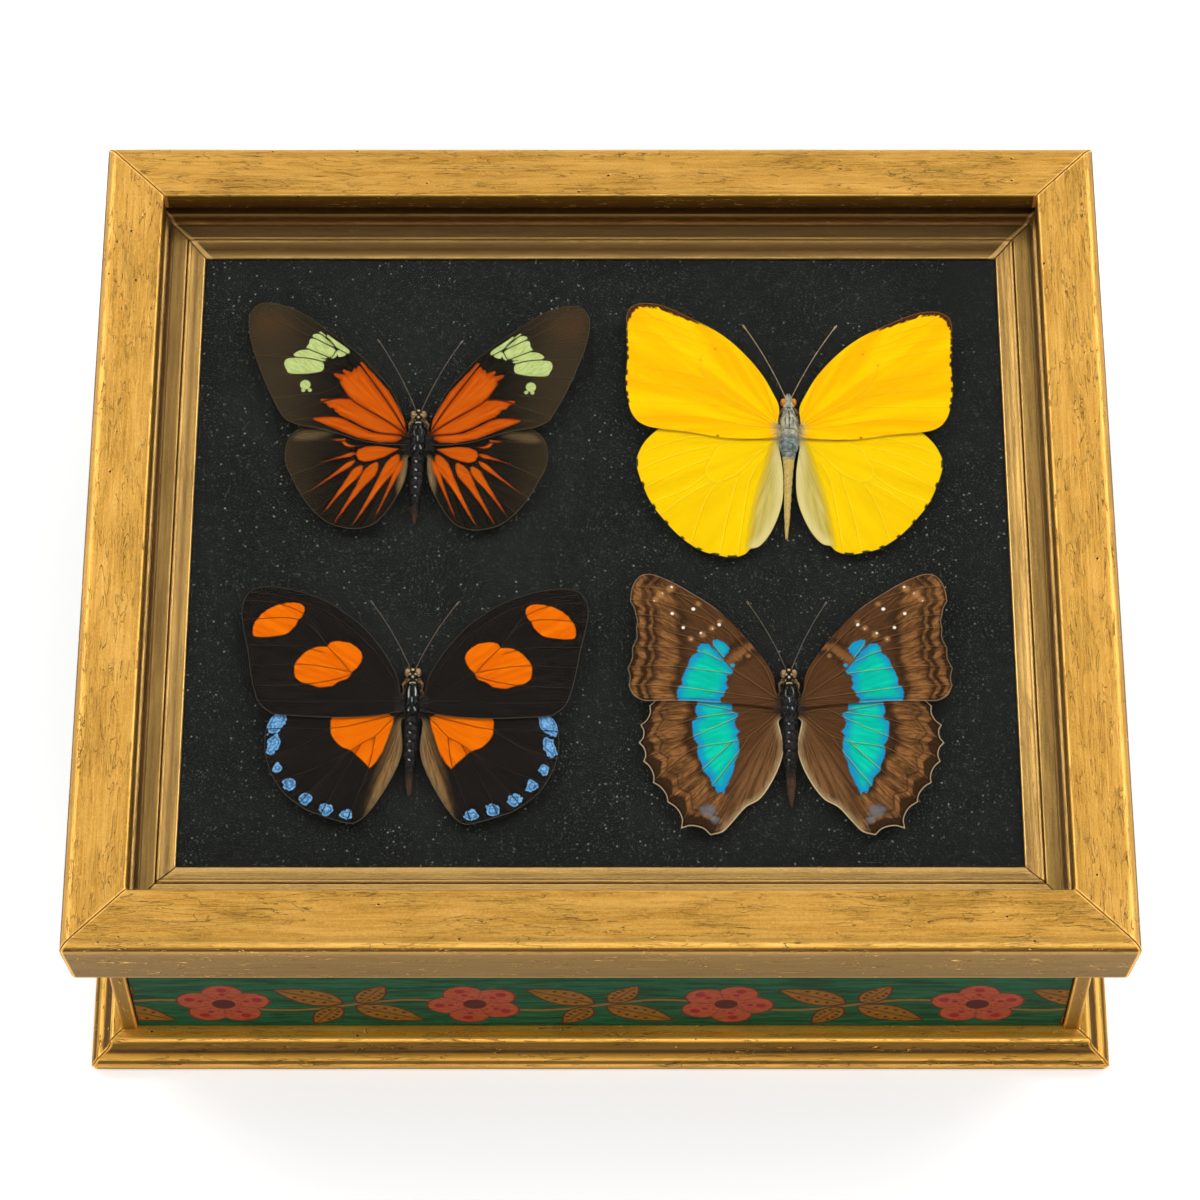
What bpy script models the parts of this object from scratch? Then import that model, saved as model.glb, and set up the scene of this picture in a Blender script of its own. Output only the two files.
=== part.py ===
"""Butterfly shadow box: four spread butterflies under glass in a gilt moulded case.

The script works in millimetres and makes its objects in metres, +Z up. The origin is the middle of the
footprint, on the surface the box stands on. The front is -Y.
"""

import math

import bmesh
import bpy
from mathutils import Matrix, Vector

MM = 0.001
GAP = 0.3  # clearance between pieces that touch

# Lid
LID_WIDTH = 230.0
LID_DEPTH = 203.3
CASE_HEIGHT = 70.7
LID_SIDE_HEIGHT = 19.1
LID_TAPER = 1.05  # how far the lid's sides draw in at their foot
LID_EDGE_ROUND = 2.4
ARRIS = 0.5  # small chamfer on the other edges
RAIL_WIDTH = 13.7  # from the outer edge to the sight edge
RAIL_LIP = 5.4  # rail thickness over the glass
SKIRT_THICKNESS = 6.8
GLASS_THICKNESS = 1.8

# Display tray
BOARD_DROP = 12.3  # backing board's face below the lid's top
BOARD_THICKNESS = 3.0
LINER_BAND_DROP = 10.2  # liner's flat band below the lid's top
LINER_BAND = 3.4  # flat band's width on the front and back rails
LINER_BEVEL = 3.5
LINER_SIDE_RATIO = 0.94  # the side rails are this much narrower

# Body and plinth
BODY_INSET = 7.14  # body's corner posts inside the lid's outer edge
PANEL_SETBACK = 0.8  # painted faces behind the posts' faces
POST_WIDTH = 3.6
WALL_THICKNESS = 6.0
PLINTH_HEIGHT = 7.7
PLINTH_WIDTH = 16.0
BASE_THICKNESS = 6.0

LID_FOOT = CASE_HEIGHT - LID_SIDE_HEIGHT
LIP_BOTTOM = CASE_HEIGHT - RAIL_LIP
GLASS_TOP = LIP_BOTTOM - GAP
GLASS_BOTTOM = GLASS_TOP - GLASS_THICKNESS
LINER_TOP = GLASS_BOTTOM - GAP
BOARD_TOP = CASE_HEIGHT - BOARD_DROP
BOARD_BOTTOM = BOARD_TOP - BOARD_THICKNESS
TRAY_INSET = SKIRT_THICKNESS + GAP
WALL_TOP = BOARD_BOTTOM - GAP
WALL_BOTTOM = PLINTH_HEIGHT + GAP
MITRE_GAP = GAP / math.sqrt(2)

# Butterflies: heights over the backing board
FOREWING_HEIGHT = 2.8
HINDWING_HEIGHT = 2.0
WING_THICKNESS = 0.5
WING_LIFT = 0.6  # how far a wing tip rises over its root
WING_REACH = 40.0  # distance from the body at which the lift is whole
WING_FOLDS = (8.0, 16.0, 24.0, 32.0)  # chords at which the curved wing is creased
BODY_AXIS_HEIGHT = 2.2
OUTLINE_STEP = 3.2  # spacing of points along a wing's margin
TUBE_SIDES = 6
BODY_SIDES = 10
TAIL_CLEARANCE = 0.35  # abdomen over the board, beyond the touching gap
EYE_RADIUS = 0.85
ANTENNA_RADIUS = 0.18
CLUB_RADIUS = 0.38
LEG_RADIUS = 0.26
LEFT_FIT = (1.0, 1.0, 0.0)  # the left wings are as drawn; each right wing has its own fit


def clear_scene():
    """Start from an empty scene."""
    for old in list(bpy.data.objects):
        bpy.data.objects.remove(old, do_unlink=True)


def material(name, colour, roughness, metallic=0.0, transmission=0.0):
    """A plain Principled material."""
    made = bpy.data.materials.new(name)
    made.use_nodes = True
    shader = made.node_tree.nodes["Principled BSDF"]
    shader.inputs["Base Color"].default_value = (*colour, 1.0)
    shader.inputs["Roughness"].default_value = roughness
    shader.inputs["Metallic"].default_value = metallic
    shader.inputs["Transmission Weight"].default_value = transmission
    return made


def mesh_from(bm, name):
    """Turn a bmesh in millimetres into a mesh in metres with its faces pointing out."""
    bmesh.ops.recalc_face_normals(bm, faces=bm.faces)
    bmesh.ops.scale(bm, vec=(MM, MM, MM), verts=bm.verts)
    mesh = bpy.data.meshes.new(name)
    bm.to_mesh(mesh)
    bm.free()
    return mesh


def place(name, mesh, finish, location=(0, 0, 0), turn=0.0):
    """Put a mesh in the scene at a place in millimetres, turned about Z by an angle in degrees."""
    made = bpy.data.objects.new(name, mesh)
    made.location = Vector(location) * MM
    made.rotation_euler.z = math.radians(turn)
    if not mesh.materials:
        mesh.materials.append(finish)
    bpy.context.collection.objects.link(made)
    return made


def arc(centre, radii, start, end, steps):
    """Points on an ellipse's arc, angles in degrees."""
    angles = [math.radians(start + (end - start) * i / steps) for i in range(steps + 1)]
    return [(centre[0] + radii[0] * math.cos(a), centre[1] + radii[1] * math.sin(a)) for a in angles]


def mitred_rail(name, length, section, end_insets):
    """A rail along X: the section's points are (inset, height), its ends are cut to the mitre."""
    bm = bmesh.new()
    outline = [
        bm.verts.new((end + MITRE_GAP - length / 2, inset, height))
        for (inset, height), end in zip(section, end_insets)
    ]
    end_face = bm.faces.new(outline)
    swept = bmesh.ops.extrude_face_region(bm, geom=[end_face])
    for vert in swept["geom"]:
        if isinstance(vert, bmesh.types.BMVert):
            vert.co.x = -vert.co.x
    return mesh_from(bm, name)


def mitred_frame(prefix, finish, long_section, side_section):
    """Four rails round the lid's footprint; matching points of the two sections meet on the mitres."""
    front = mitred_rail(prefix + "_long", LID_WIDTH, long_section, [inset for inset, _ in side_section])
    side = mitred_rail(prefix + "_side", LID_DEPTH, side_section, [inset for inset, _ in long_section])
    place(prefix + "_front", front, finish, (0, -LID_DEPTH / 2, 0), 0)
    place(prefix + "_back", front, finish, (0, LID_DEPTH / 2, 0), 180)
    place(prefix + "_left", side, finish, (-LID_WIDTH / 2, 0, 0), -90)
    place(prefix + "_right", side, finish, (LID_WIDTH / 2, 0, 0), 90)


def lid_section():
    """Section of a lid rail: skirt outside, rounded outer edge, lip over the glass."""
    edge_centre = (LID_EDGE_ROUND, CASE_HEIGHT - LID_EDGE_ROUND)
    return [
        (LID_TAPER + ARRIS, LID_FOOT),
        (LID_TAPER, LID_FOOT + ARRIS),
        *arc(edge_centre, (LID_EDGE_ROUND, LID_EDGE_ROUND), 180, 90, 6),
        (RAIL_WIDTH - ARRIS, CASE_HEIGHT),
        (RAIL_WIDTH, CASE_HEIGHT - ARRIS),
        (RAIL_WIDTH, LIP_BOTTOM),
        (SKIRT_THICKNESS, LIP_BOTTOM),
        (SKIRT_THICKNESS, LID_FOOT),
    ]


def liner_section():
    """Section of a long liner rail: quirk and cove under the sight edge, flat band, bead, bevel to the board."""
    foot = BOARD_TOP + GAP
    band_height = CASE_HEIGHT - LINER_BAND_DROP
    quirk = RAIL_WIDTH + ARRIS
    cove = arc((quirk + 1.7, LINER_TOP - 0.3), (1.1, LINER_TOP - 0.3 - band_height), 180, 270, 4)
    bead = cove[-1][0] + LINER_BAND
    return [
        (TRAY_INSET, foot),
        (TRAY_INSET, LINER_TOP),
        (quirk, LINER_TOP),
        *cove,
        (bead, band_height),
        (bead + 0.2, band_height - 0.4),
        (bead + 0.4, band_height),
        (bead + 0.9, band_height),
        (bead + 1.1, band_height - 0.2),
        (bead + 1.1 + LINER_BEVEL, foot + 0.4),
        (bead + 1.1 + LINER_BEVEL, foot),
    ]


def plinth_section():
    """Section of a plinth rail: foot fillet, rounded torus, cove, flat top under the body."""
    return [
        (PLINTH_WIDTH, 0.0),
        (0.5, 0.0),
        (0.5, 2.1),
        (0.2, 2.3),
        *arc((3.1, 2.4), (3.0, 1.8), 180, 95, 7),
        *arc((3.1, 6.6), (1.3, 2.3), 270, 360, 5),
        (4.4, 7.2),
        (4.7, 7.5),
        (BODY_INSET, PLINTH_HEIGHT),
        (PLINTH_WIDTH, PLINTH_HEIGHT),
    ]


def slab(name, inset, bottom, top, finish):
    """A flat board, inset from the lid's footprint all round."""
    bm = bmesh.new()
    bmesh.ops.create_cube(bm, size=1.0)
    size = (LID_WIDTH - 2 * inset, LID_DEPTH - 2 * inset, top - bottom)
    bmesh.ops.scale(bm, vec=size, verts=bm.verts)
    place(name, mesh_from(bm, name), finish, (0, 0, (bottom + top) / 2))


def prism(name, plan, bottom, top):
    """An upright solid on a plan outline."""
    bm = bmesh.new()
    foot = bm.faces.new([bm.verts.new((x, y, bottom)) for x, y in plan])
    raised = bmesh.ops.extrude_face_region(bm, geom=[foot])
    verts = [item for item in raised["geom"] if isinstance(item, bmesh.types.BMVert)]
    bmesh.ops.translate(bm, vec=(0, 0, top - bottom), verts=verts)
    return mesh_from(bm, name)


def body_walls(paint):
    """Four walls, mitred behind the corner posts that are let into their outer corners."""
    outer = BODY_INSET + PANEL_SETBACK
    inner = outer + WALL_THICKNESS
    notch = BODY_INSET + POST_WIDTH + GAP
    half_plan = [(notch, outer), (notch, notch - MITRE_GAP), (inner + MITRE_GAP, inner)]
    for length, names in ((LID_WIDTH, ("front", "back")), (LID_DEPTH, ("left", "right"))):
        near = [(x - length / 2, y) for x, y in half_plan]
        far = [(-x, y) for x, y in reversed(near)]
        mesh = prism("wall_" + names[0], near + far, WALL_BOTTOM, WALL_TOP)
        turns = {"front": 0, "back": 180, "left": -90, "right": 90}
        for name in names:
            reach = -LID_DEPTH / 2 if length == LID_WIDTH else -LID_WIDTH / 2
            spot = Matrix.Rotation(math.radians(turns[name]), 3, "Z") @ Vector((0, reach, 0))
            place("wall_" + name, mesh, paint, spot, turns[name])


def corner_posts(gilt):
    """Four square posts at the body's corners."""
    half = POST_WIDTH / 2
    plan = [(-half, -half), (half, -half), (half, half), (-half, half)]
    mesh = prism("corner_post", plan, WALL_BOTTOM, WALL_TOP)
    reach_x = LID_WIDTH / 2 - BODY_INSET - half
    reach_y = LID_DEPTH / 2 - BODY_INSET - half
    for end, y in (("front", -reach_y), ("back", reach_y)):
        for side, x in (("left", -reach_x), ("right", reach_x)):
            place("corner_post_" + end + "_" + side, mesh, gilt, (x, y, 0))


def spline_point(a, b, c, d, t):
    """A point of the smooth curve from b to c, whose neighbours are a and d."""
    return 0.5 * (2 * b + (c - a) * t + (2 * a - 5 * b + 4 * c - d) * t**2 + (3 * b - a - 3 * c + d) * t**3)


def trace(strokes, step):
    """Points along a margin made of smooth strokes, which meet at corners."""
    points = []
    for stroke in strokes:
        knots = [Vector(point) for point in stroke]
        knots = [2 * knots[0] - knots[1], *knots, 2 * knots[-1] - knots[-2]]
        for a, b, c, d in zip(knots, knots[1:], knots[2:], knots[3:]):
            pieces = max(1, round((c - b).length / step))
            points += [spline_point(a, b, c, d, i / pieces) for i in range(pieces)]
    points.append(Vector(strokes[-1][-1]))
    return [point for i, point in enumerate(points) if i == 0 or (point - points[i - 1]).length > 0.2]


def scallops(teeth, depth):
    """Strokes that hollow the margin between one tooth and the next."""
    strokes = []
    for start, end in zip(teeth, teeth[1:]):
        middle = (Vector(start) + Vector(end)) / 2
        along = Vector(end) - Vector(start)
        inward = Vector((along.y, -along.x)).normalized() * depth
        strokes.append([start, tuple(middle + inward), end])
    return strokes


def wing(bm, strokes, height, side, fit):
    """A thin wing, gently curved up to its tip. fit is its scale outward and forward, and its turn in degrees."""
    reach, stretch, turn = fit
    flat = bmesh.new()
    flat.faces.new([flat.verts.new((point.x, point.y, 0)) for point in trace(strokes, OUTLINE_STEP)])
    for fold in WING_FOLDS:
        everything = flat.verts[:] + flat.edges[:] + flat.faces[:]
        bmesh.ops.bisect_plane(flat, geom=everything, plane_co=(fold, 0, 0), plane_no=(1, 0, 0), dist=0.001)
    bmesh.ops.triangulate(flat, faces=flat.faces)
    for vert in flat.verts:
        vert.co.z = height + WING_LIFT * (vert.co.x / WING_REACH) ** 2
    upper = bmesh.ops.extrude_face_region(flat, geom=flat.faces[:])
    verts = [item for item in upper["geom"] if isinstance(item, bmesh.types.BMVert)]
    bmesh.ops.translate(flat, vec=(0, 0, WING_THICKNESS), verts=verts)
    swing = Matrix.Rotation(math.radians(turn * side), 4, "Z")
    flat.transform(swing @ Matrix.Diagonal((side * reach, stretch, 1, 1)))
    bmesh.ops.recalc_face_normals(flat, faces=flat.faces)
    scratch = bpy.data.meshes.new("wing")
    flat.to_mesh(scratch)
    flat.free()
    bm.from_mesh(scratch)
    bpy.data.meshes.remove(scratch)


def skin(bm, rings, sides):
    """A closed tube through rings, each given as (centre, direction, half width, half height)."""
    loops = []
    for number, (centre, direction, half_width, half_height) in enumerate(rings):
        turn = Vector(direction).to_track_quat("Z", "Y").to_matrix().to_4x4()
        shape = Matrix.Diagonal((half_width, half_height, 1, 1))
        ring = bmesh.ops.create_circle(
            bm,
            cap_ends=number in (0, len(rings) - 1),
            segments=sides,
            radius=1.0,
            matrix=Matrix.Translation(centre) @ turn @ shape,
        )
        verts = set(ring["verts"])
        loops.append([edge for edge in bm.edges if edge.verts[0] in verts and edge.verts[1] in verts])
    for near, far in zip(loops, loops[1:]):
        bmesh.ops.bridge_loops(bm, edges=near + far)


def antenna(bm, root, tip, side):
    """A thin feeler that bows a little and ends in a club."""
    start = Vector((root[0] * side, root[1], BODY_AXIS_HEIGHT + 0.2))
    end = Vector((tip[0] * side, tip[1], BODY_AXIS_HEIGHT + 1.0))
    bow = Vector((-0.5 * side, 0.4, 0.2))
    stations = ((0.0, ANTENNA_RADIUS), (0.5, ANTENNA_RADIUS), (0.93, ANTENNA_RADIUS), (0.97, CLUB_RADIUS), (1.0, 0.1))
    rings = []
    for t, radius in stations:
        centre = start.lerp(end, t) + bow * 4 * t * (1 - t)
        rings.append((centre, end - start, radius, radius))
    skin(bm, rings, TUBE_SIDES)


def leg(bm, points, side):
    """A folded leg lying against the thorax."""
    path = [Vector((x * side, y, z)) for x, y, z in points]
    rings = []
    for number, spot in enumerate(path):
        before = path[max(number - 1, 0)]
        after = path[min(number + 1, len(path) - 1)]
        rings.append((spot, after - before, LEG_RADIUS, LEG_RADIUS))
    skin(bm, rings, TUBE_SIDES)


def body_rings(stations, tail_shift):
    """Rings of head, thorax and abdomen; the tail may lie a little to one side."""
    tail = stations[0][0]
    rings = []
    for y, half_width, half_height in stations:
        lean = tail_shift * max(0.0, y / tail)
        droop = GAP + half_height + TAIL_CLEARANCE
        centre = (lean, y, min(BODY_AXIS_HEIGHT, droop) if y < 0 else BODY_AXIS_HEIGHT)
        rings.append((centre, (0, 1, 0), half_width, half_height))
    return rings


def butterfly(name, centre, finish, spec):
    """One spread butterfly: body, four wings, antennae and legs, grown as one piece."""
    trunk = bmesh.new()
    skin(trunk, body_rings(spec["body"], spec["tail_shift"]), BODY_SIDES)
    bmesh.ops.triangulate(trunk, faces=trunk.faces)
    made = place(name, mesh_from(trunk, name), finish, (*centre, BOARD_TOP))
    limbs = bmesh.new()
    for side, fore_fit, hind_fit in ((-1, LEFT_FIT, LEFT_FIT), (1, spec["right_fore"], spec["right_hind"])):
        wing(limbs, spec["forewing"], FOREWING_HEIGHT, side, fore_fit)
        wing(limbs, spec["hindwing"], HINDWING_HEIGHT, side, hind_fit)
        eye = Matrix.Translation((1.15 * side, spec["head"] - 0.2, BODY_AXIS_HEIGHT + 0.1))
        bmesh.ops.create_icosphere(limbs, subdivisions=2, radius=EYE_RADIUS, matrix=eye)
        antenna(limbs, (0.5, spec["head"] + 0.3), spec["antenna_tip"], side)
        leg(limbs, [(0.6, 6.4, 1.9), (1.9, 5.9, 1.6), (1.7, 3.6, 1.1)], side)
        leg(limbs, [(0.8, 4.2, 1.6), (2.1, 3.9, 1.2), (1.9, 1.9, 0.9)], side)
    tool = place(name + "_limbs", mesh_from(limbs, name + "_limbs"), finish, (*centre, BOARD_TOP))
    tool.hide_render = True
    tool.display_type = "WIRE"
    union = made.modifiers.new("grown together", "BOOLEAN")
    union.operation = "UNION"
    union.solver = "EXACT"
    union.use_self = True
    union.object = tool


# Wing margins: strokes of (out from the body's midline, forward of the wing roots), from the front of the
# root round the tip to the back of the root, inside the thorax at both ends.
RAYED = {
    "forewing": [
        [
            (1.2, 1.9), (2.8, 3.6), (3.4, 6.9), (6.0, 14.1), (10.1, 19.6), (13.9, 23.9), (19.5, 29.0), (25.9, 34.0),
            (29.6, 36.1), (33.4, 37.4), (36.3, 37.6), (38.1, 36.8), (39.4, 34.6), (39.6, 31.6), (38.5, 25.6),
            (36.4, 19.2), (33.5, 12.4), (30.9, 7.4), (28.7, 5.7), (26.7, 4.9), (22.5, 4.2), (18.1, 3.0),
            (13.0, 1.3), (7.9, 0.2), (3.0, 0.0), (1.2, 0.3),
        ],
    ],
    "hindwing": [
        [
            (1.2, 0.6), (8.0, 3.0), (16.0, 5.0), (23.0, 5.8), (26.7, 4.9), (29.0, 2.8), (30.0, 0.3), (30.2, -2.7),
            (29.6, -5.6), (28.3, -8.5), (26.7, -11.8), (24.5, -15.1), (21.9, -18.0), (18.9, -20.2),
            (14.9, -21.3), (12.1, -21.1), (9.6, -20.0), (7.5, -17.6), (5.4, -14.3), (3.7, -11.0), (2.8, -8.5),
            (2.3, -5.2), (2.3, -3.0), (1.2, -1.9),
        ],
    ],
    "body": [
        (-19.3, 0.3, 0.3), (-17.0, 0.8, 0.8), (-13.0, 1.3, 1.2), (-8.0, 1.6, 1.4), (-4.0, 1.6, 1.4),
        (-2.0, 1.5, 1.4), (0.0, 2.1, 1.9), (3.0, 2.2, 1.9), (5.5, 1.6, 1.7), (6.8, 0.9, 1.1), (8.0, 1.3, 1.2),
        (9.2, 0.9, 0.9), (9.9, 0.3, 0.3),
    ],
    "head": 8.3,
    "tail_shift": -0.55,
    "antenna_tip": (9.8, 27.9),
    "right_fore": (0.965, 1.0, -1.5),
    "right_hind": (0.98, 1.0, -1.5),
}

YELLOW = {
    "forewing": [
        [
            (1.2, 1.6), (2.5, 2.4), (2.2, 6.9), (3.5, 10.6), (6.1, 16.1), (10.4, 21.8), (15.4, 26.6), (21.1, 30.4),
            (27.6, 33.7), (32.3, 34.6), (35.4, 33.9), (36.8, 31.9), (37.1, 26.8), (36.8, 19.8), (37.2, 13.9),
            (36.6, 7.9), (35.3, 4.3), (33.3, 2.5), (30.0, 1.5), (22.0, 0.4), (14.5, -0.8), (5.5, -1.2),
            (1.2, -0.4),
        ],
    ],
    "hindwing": [
        [
            (1.2, 0.3), (10.0, 3.2), (20.0, 4.2), (26.0, 3.8), (30.0, 1.5), (32.9, -1.6), (34.5, -5.2),
            (34.8, -7.9), (33.8, -11.9), (31.9, -16.9), (29.2, -21.3), (25.0, -26.2), (21.1, -29.3),
            (17.3, -30.8), (13.4, -31.4), (10.7, -30.6), (9.3, -29.1),
        ],
        [
            (9.3, -29.1), (7.2, -28.4), (4.8, -25.3), (2.8, -20.5), (1.7, -15.6), (1.6, -9.8), (2.1, -5.3),
            (2.3, -2.8), (1.2, -1.8),
        ],
    ],
    "body": [
        (-26.0, 0.25, 0.25), (-23.0, 0.5, 0.5), (-18.0, 0.85, 0.8), (-12.0, 1.1, 1.0), (-8.0, 1.35, 1.2),
        (-5.0, 1.7, 1.5), (-2.5, 2.3, 1.8), (1.0, 2.2, 1.9), (4.5, 1.8, 1.8), (6.8, 1.1, 1.2), (8.0, 1.3, 1.2),
        (9.5, 0.9, 0.9), (10.3, 0.3, 0.3),
    ],
    "head": 8.7,
    "tail_shift": -1.05,
    "antenna_tip": (10.6, 28.8),
    "right_fore": (1.0, 0.965, -2.0),
    "right_hind": (1.0, 0.97, -1.0),
}

SPOTTED = {
    "forewing": [
        [
            (1.2, 1.7), (2.6, 3.0), (3.4, 7.1), (6.1, 12.8), (10.1, 18.5), (14.6, 22.6), (19.8, 26.3),
            (25.6, 28.7), (31.1, 29.7), (35.5, 29.2), (37.6, 27.1), (38.4, 23.4), (37.9, 19.3), (36.8, 14.1),
            (36.0, 8.8), (35.0, 4.0), (33.8, 0.8), (31.9, -1.0), (29.7, -2.0), (21.1, -2.5), (8.6, -2.3),
            (3.0, -1.2), (1.2, -0.4),
        ],
    ],
    "hindwing": [
        [
            (1.2, 0.4), (10.0, 1.6), (20.0, 1.8), (27.0, 0.6), (30.6, -2.0), (31.8, -4.4), (32.2, -7.2),
            (32.1, -10.8), (31.1, -14.7), (29.2, -18.7), (26.6, -21.8), (23.0, -24.6), (19.7, -26.1),
            (16.2, -27.3), (13.3, -28.1), (11.2, -27.5), (8.8, -25.0), (6.4, -21.1), (4.4, -17.2),
            (2.7, -13.2), (2.0, -9.7), (2.3, -5.7), (2.4, -3.2), (1.2, -2.0),
        ],
    ],
    "body": [
        (-20.9, 0.3, 0.3), (-18.0, 0.85, 0.8), (-14.0, 1.25, 1.2), (-9.0, 1.65, 1.5), (-5.0, 1.7, 1.5),
        (-2.2, 1.5, 1.4), (0.0, 2.0, 1.9), (3.0, 1.8, 1.9), (5.5, 1.4, 1.6), (6.8, 0.9, 1.1), (8.2, 1.3, 1.2),
        (9.4, 0.9, 0.9), (10.3, 0.3, 0.3),
    ],
    "head": 8.7,
    "tail_shift": -0.4,
    "antenna_tip": (9.8, 26.2),
    "right_fore": (1.0, 1.0, -1.0),
    "right_hind": (1.01, 1.0, -1.0),
}

BANDED = {
    "forewing": [
        [
            (1.2, 1.7), (2.8, 3.2), (3.7, 8.1), (6.3, 12.9), (10.1, 18.1), (15.5, 23.9), (20.5, 27.8),
            (24.8, 30.7), (29.5, 32.8), (32.2, 32.8), (33.8, 31.4), (34.8, 28.8), (35.1, 26.0),
        ],
        [(35.1, 26.0), (34.0, 23.8), (33.6, 21.0), (33.7, 18.6), (34.7, 14.2), (35.7, 9.0)],
        [
            (35.7, 9.0), (35.2, 7.0), (35.5, 5.2), (34.4, 2.8), (32.4, 1.6), (30.5, 1.4), (20.1, 1.4),
            (10.4, 0.7), (3.0, -0.3), (1.2, 0.0),
        ],
    ],
    "hindwing": [
        [(1.2, 0.6), (10.0, 4.0), (20.0, 5.0), (27.0, 3.8), (30.9, 0.6)],
        *scallops([(30.9, 0.6), (32.9, -4.2), (33.3, -8.7), (32.3, -13.2), (30.2, -18.3), (27.1, -22.9)], 0.9),
        *scallops([(27.1, -22.9), (24.2, -29.2), (17.8, -30.7)], 1.5),
        [
            (17.8, -30.7), (15.1, -29.9), (12.8, -27.4), (10.0, -24.0), (6.9, -21.9), (4.2, -17.7),
            (2.2, -13.0), (1.5, -9.2), (2.2, -5.3), (2.5, -3.2), (1.2, -2.0),
        ],
    ],
    "body": [
        (-23.4, 0.3, 0.3), (-20.0, 0.85, 0.8), (-15.0, 1.4, 1.3), (-10.0, 1.7, 1.5), (-5.5, 1.8, 1.6),
        (-3.0, 1.7, 1.5), (-0.5, 2.3, 1.9), (2.5, 2.2, 1.9), (5.0, 1.6, 1.7), (6.8, 0.9, 1.1), (8.2, 1.3, 1.2),
        (9.4, 0.9, 0.9), (10.3, 0.3, 0.3),
    ],
    "head": 8.5,
    "tail_shift": 0.0,
    "antenna_tip": (8.8, 26.0),
    "right_fore": (1.015, 1.0, 0.0),
    "right_hind": (1.015, 1.0, 0.0),
}


def build_case():
    """Lid, tray, body and plinth."""
    gilt = material("gilt_wood", (0.62, 0.36, 0.06), 0.35, metallic=0.9)
    bronze_gilt = material("dull_gilt", (0.28, 0.17, 0.05), 0.45, metallic=0.8)
    mitred_frame("lid_rail", gilt, lid_section(), lid_section())
    slab("glass_pane", TRAY_INSET, GLASS_BOTTOM, GLASS_TOP, material("clear_glass", (1, 1, 1), 0.02, 0, 1))
    long_liner = liner_section()
    side_liner = [(TRAY_INSET + LINER_SIDE_RATIO * (inset - TRAY_INSET), height) for inset, height in long_liner]
    mitred_frame("liner", bronze_gilt, long_liner, side_liner)
    slab("backing_board", TRAY_INSET, BOARD_BOTTOM, BOARD_TOP, material("black_board", (0.012, 0.012, 0.012), 0.9))
    body_walls(material("green_paint", (0.012, 0.09, 0.055), 0.5))
    corner_posts(gilt)
    mitred_frame("plinth", gilt, plinth_section(), plinth_section())
    slab("base_board", PLINTH_WIDTH + GAP, 0.0, BASE_THICKNESS, material("bare_wood", (0.32, 0.2, 0.1), 0.8))


def build_butterflies():
    """Two rows of two, seen from above with the front at the bottom."""
    dark_scales = material("black_orange_scales", (0.05, 0.02, 0.01), 0.8)
    yellow_scales = material("yellow_scales", (0.95, 0.6, 0.01), 0.75)
    spotted_scales = material("black_blue_scales", (0.02, 0.012, 0.01), 0.8)
    banded_scales = material("brown_turquoise_scales", (0.14, 0.07, 0.035), 0.8)
    butterfly("rayed_butterfly", (-41.5, 26.3), dark_scales, RAYED)
    butterfly("yellow_butterfly", (43.0, 29.2), yellow_scales, YELLOW)
    butterfly("spotted_butterfly", (-41.5, -40.0), spotted_scales, SPOTTED)
    butterfly("banded_butterfly", (41.7, -40.1), banded_scales, BANDED)


clear_scene()
build_case()
build_butterflies()
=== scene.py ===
"""Looks of the butterfly shadow box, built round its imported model.

Helpers work in millimetres in the model's own frame; meshes and materials are put in the scene in metres.
"""

import math
import random

import bmesh
import bpy
import numpy as np
from mathutils import Matrix, Vector, noise


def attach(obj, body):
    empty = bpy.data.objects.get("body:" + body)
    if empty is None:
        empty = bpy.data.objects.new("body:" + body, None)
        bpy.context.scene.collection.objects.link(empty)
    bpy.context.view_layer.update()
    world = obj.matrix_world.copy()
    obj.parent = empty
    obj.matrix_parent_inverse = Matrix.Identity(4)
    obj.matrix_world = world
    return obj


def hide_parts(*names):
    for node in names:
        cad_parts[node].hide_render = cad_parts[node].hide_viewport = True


bl_info = {
    "name": "Butterfly Shadow Box",
    "version": (1, 0, 0),
    "blender": (4, 5, 0),
    "location": "3D View > Sidebar > Shadow Box",
    "description": "Dresses a gilt butterfly display case: mouldings, painted front, glass and four specimens",
    "category": "Object",
}

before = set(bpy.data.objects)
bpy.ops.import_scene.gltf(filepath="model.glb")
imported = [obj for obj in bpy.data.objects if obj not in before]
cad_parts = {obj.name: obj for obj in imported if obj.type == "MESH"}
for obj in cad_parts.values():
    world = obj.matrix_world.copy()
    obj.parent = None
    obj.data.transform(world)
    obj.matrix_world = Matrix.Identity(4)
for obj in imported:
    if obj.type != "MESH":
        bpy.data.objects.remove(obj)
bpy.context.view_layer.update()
MM = 0.001

# The case, as in the solids
LID_WIDTH = 230.0
LID_DEPTH = 203.3
CASE_HEIGHT = 70.7
LID_FOOT = 51.6
LID_TAPER = 1.05
EDGE_ROUND = 2.4
RAIL_WIDTH = 13.7
LIP_BOTTOM = 65.3
SKIRT = 6.8
TRAY_INSET = 7.1
LINER_TOP = 62.9
LINER_BAND_HEIGHT = 60.5
LINER_BAND = 3.4
LINER_BEVEL = 3.5
LINER_SIDE_RATIO = 0.94
# Painted light and shade for the liner rails, front, back, left and right: the front one lighter and the back one
# darker.
LINER_PAINTED_LIGHT = (0.65, -0.46, -0.14, 0.05)
BOARD_TOP = 58.4
BODY_INSET = 7.14
PLINTH_WIDTH = 16.0
PLINTH_HEIGHT = 7.7
MITRE_GAP = 0.2
PANEL_SETBACK = 0.8
POST_WIDTH = 3.6
WALL_THICKNESS = 6.0
WALL_BOTTOM = 8.0
WALL_TOP = 55.1
JOINT_GAP = 0.3

# The design on the front panel
STEM_HEIGHT = 20.0
STEM_SWING = 3.0
STEM_WAVE = 56.0
BLOSSOM_HEIGHT = 20.5
HEART_RADIUS = 2.6

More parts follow.
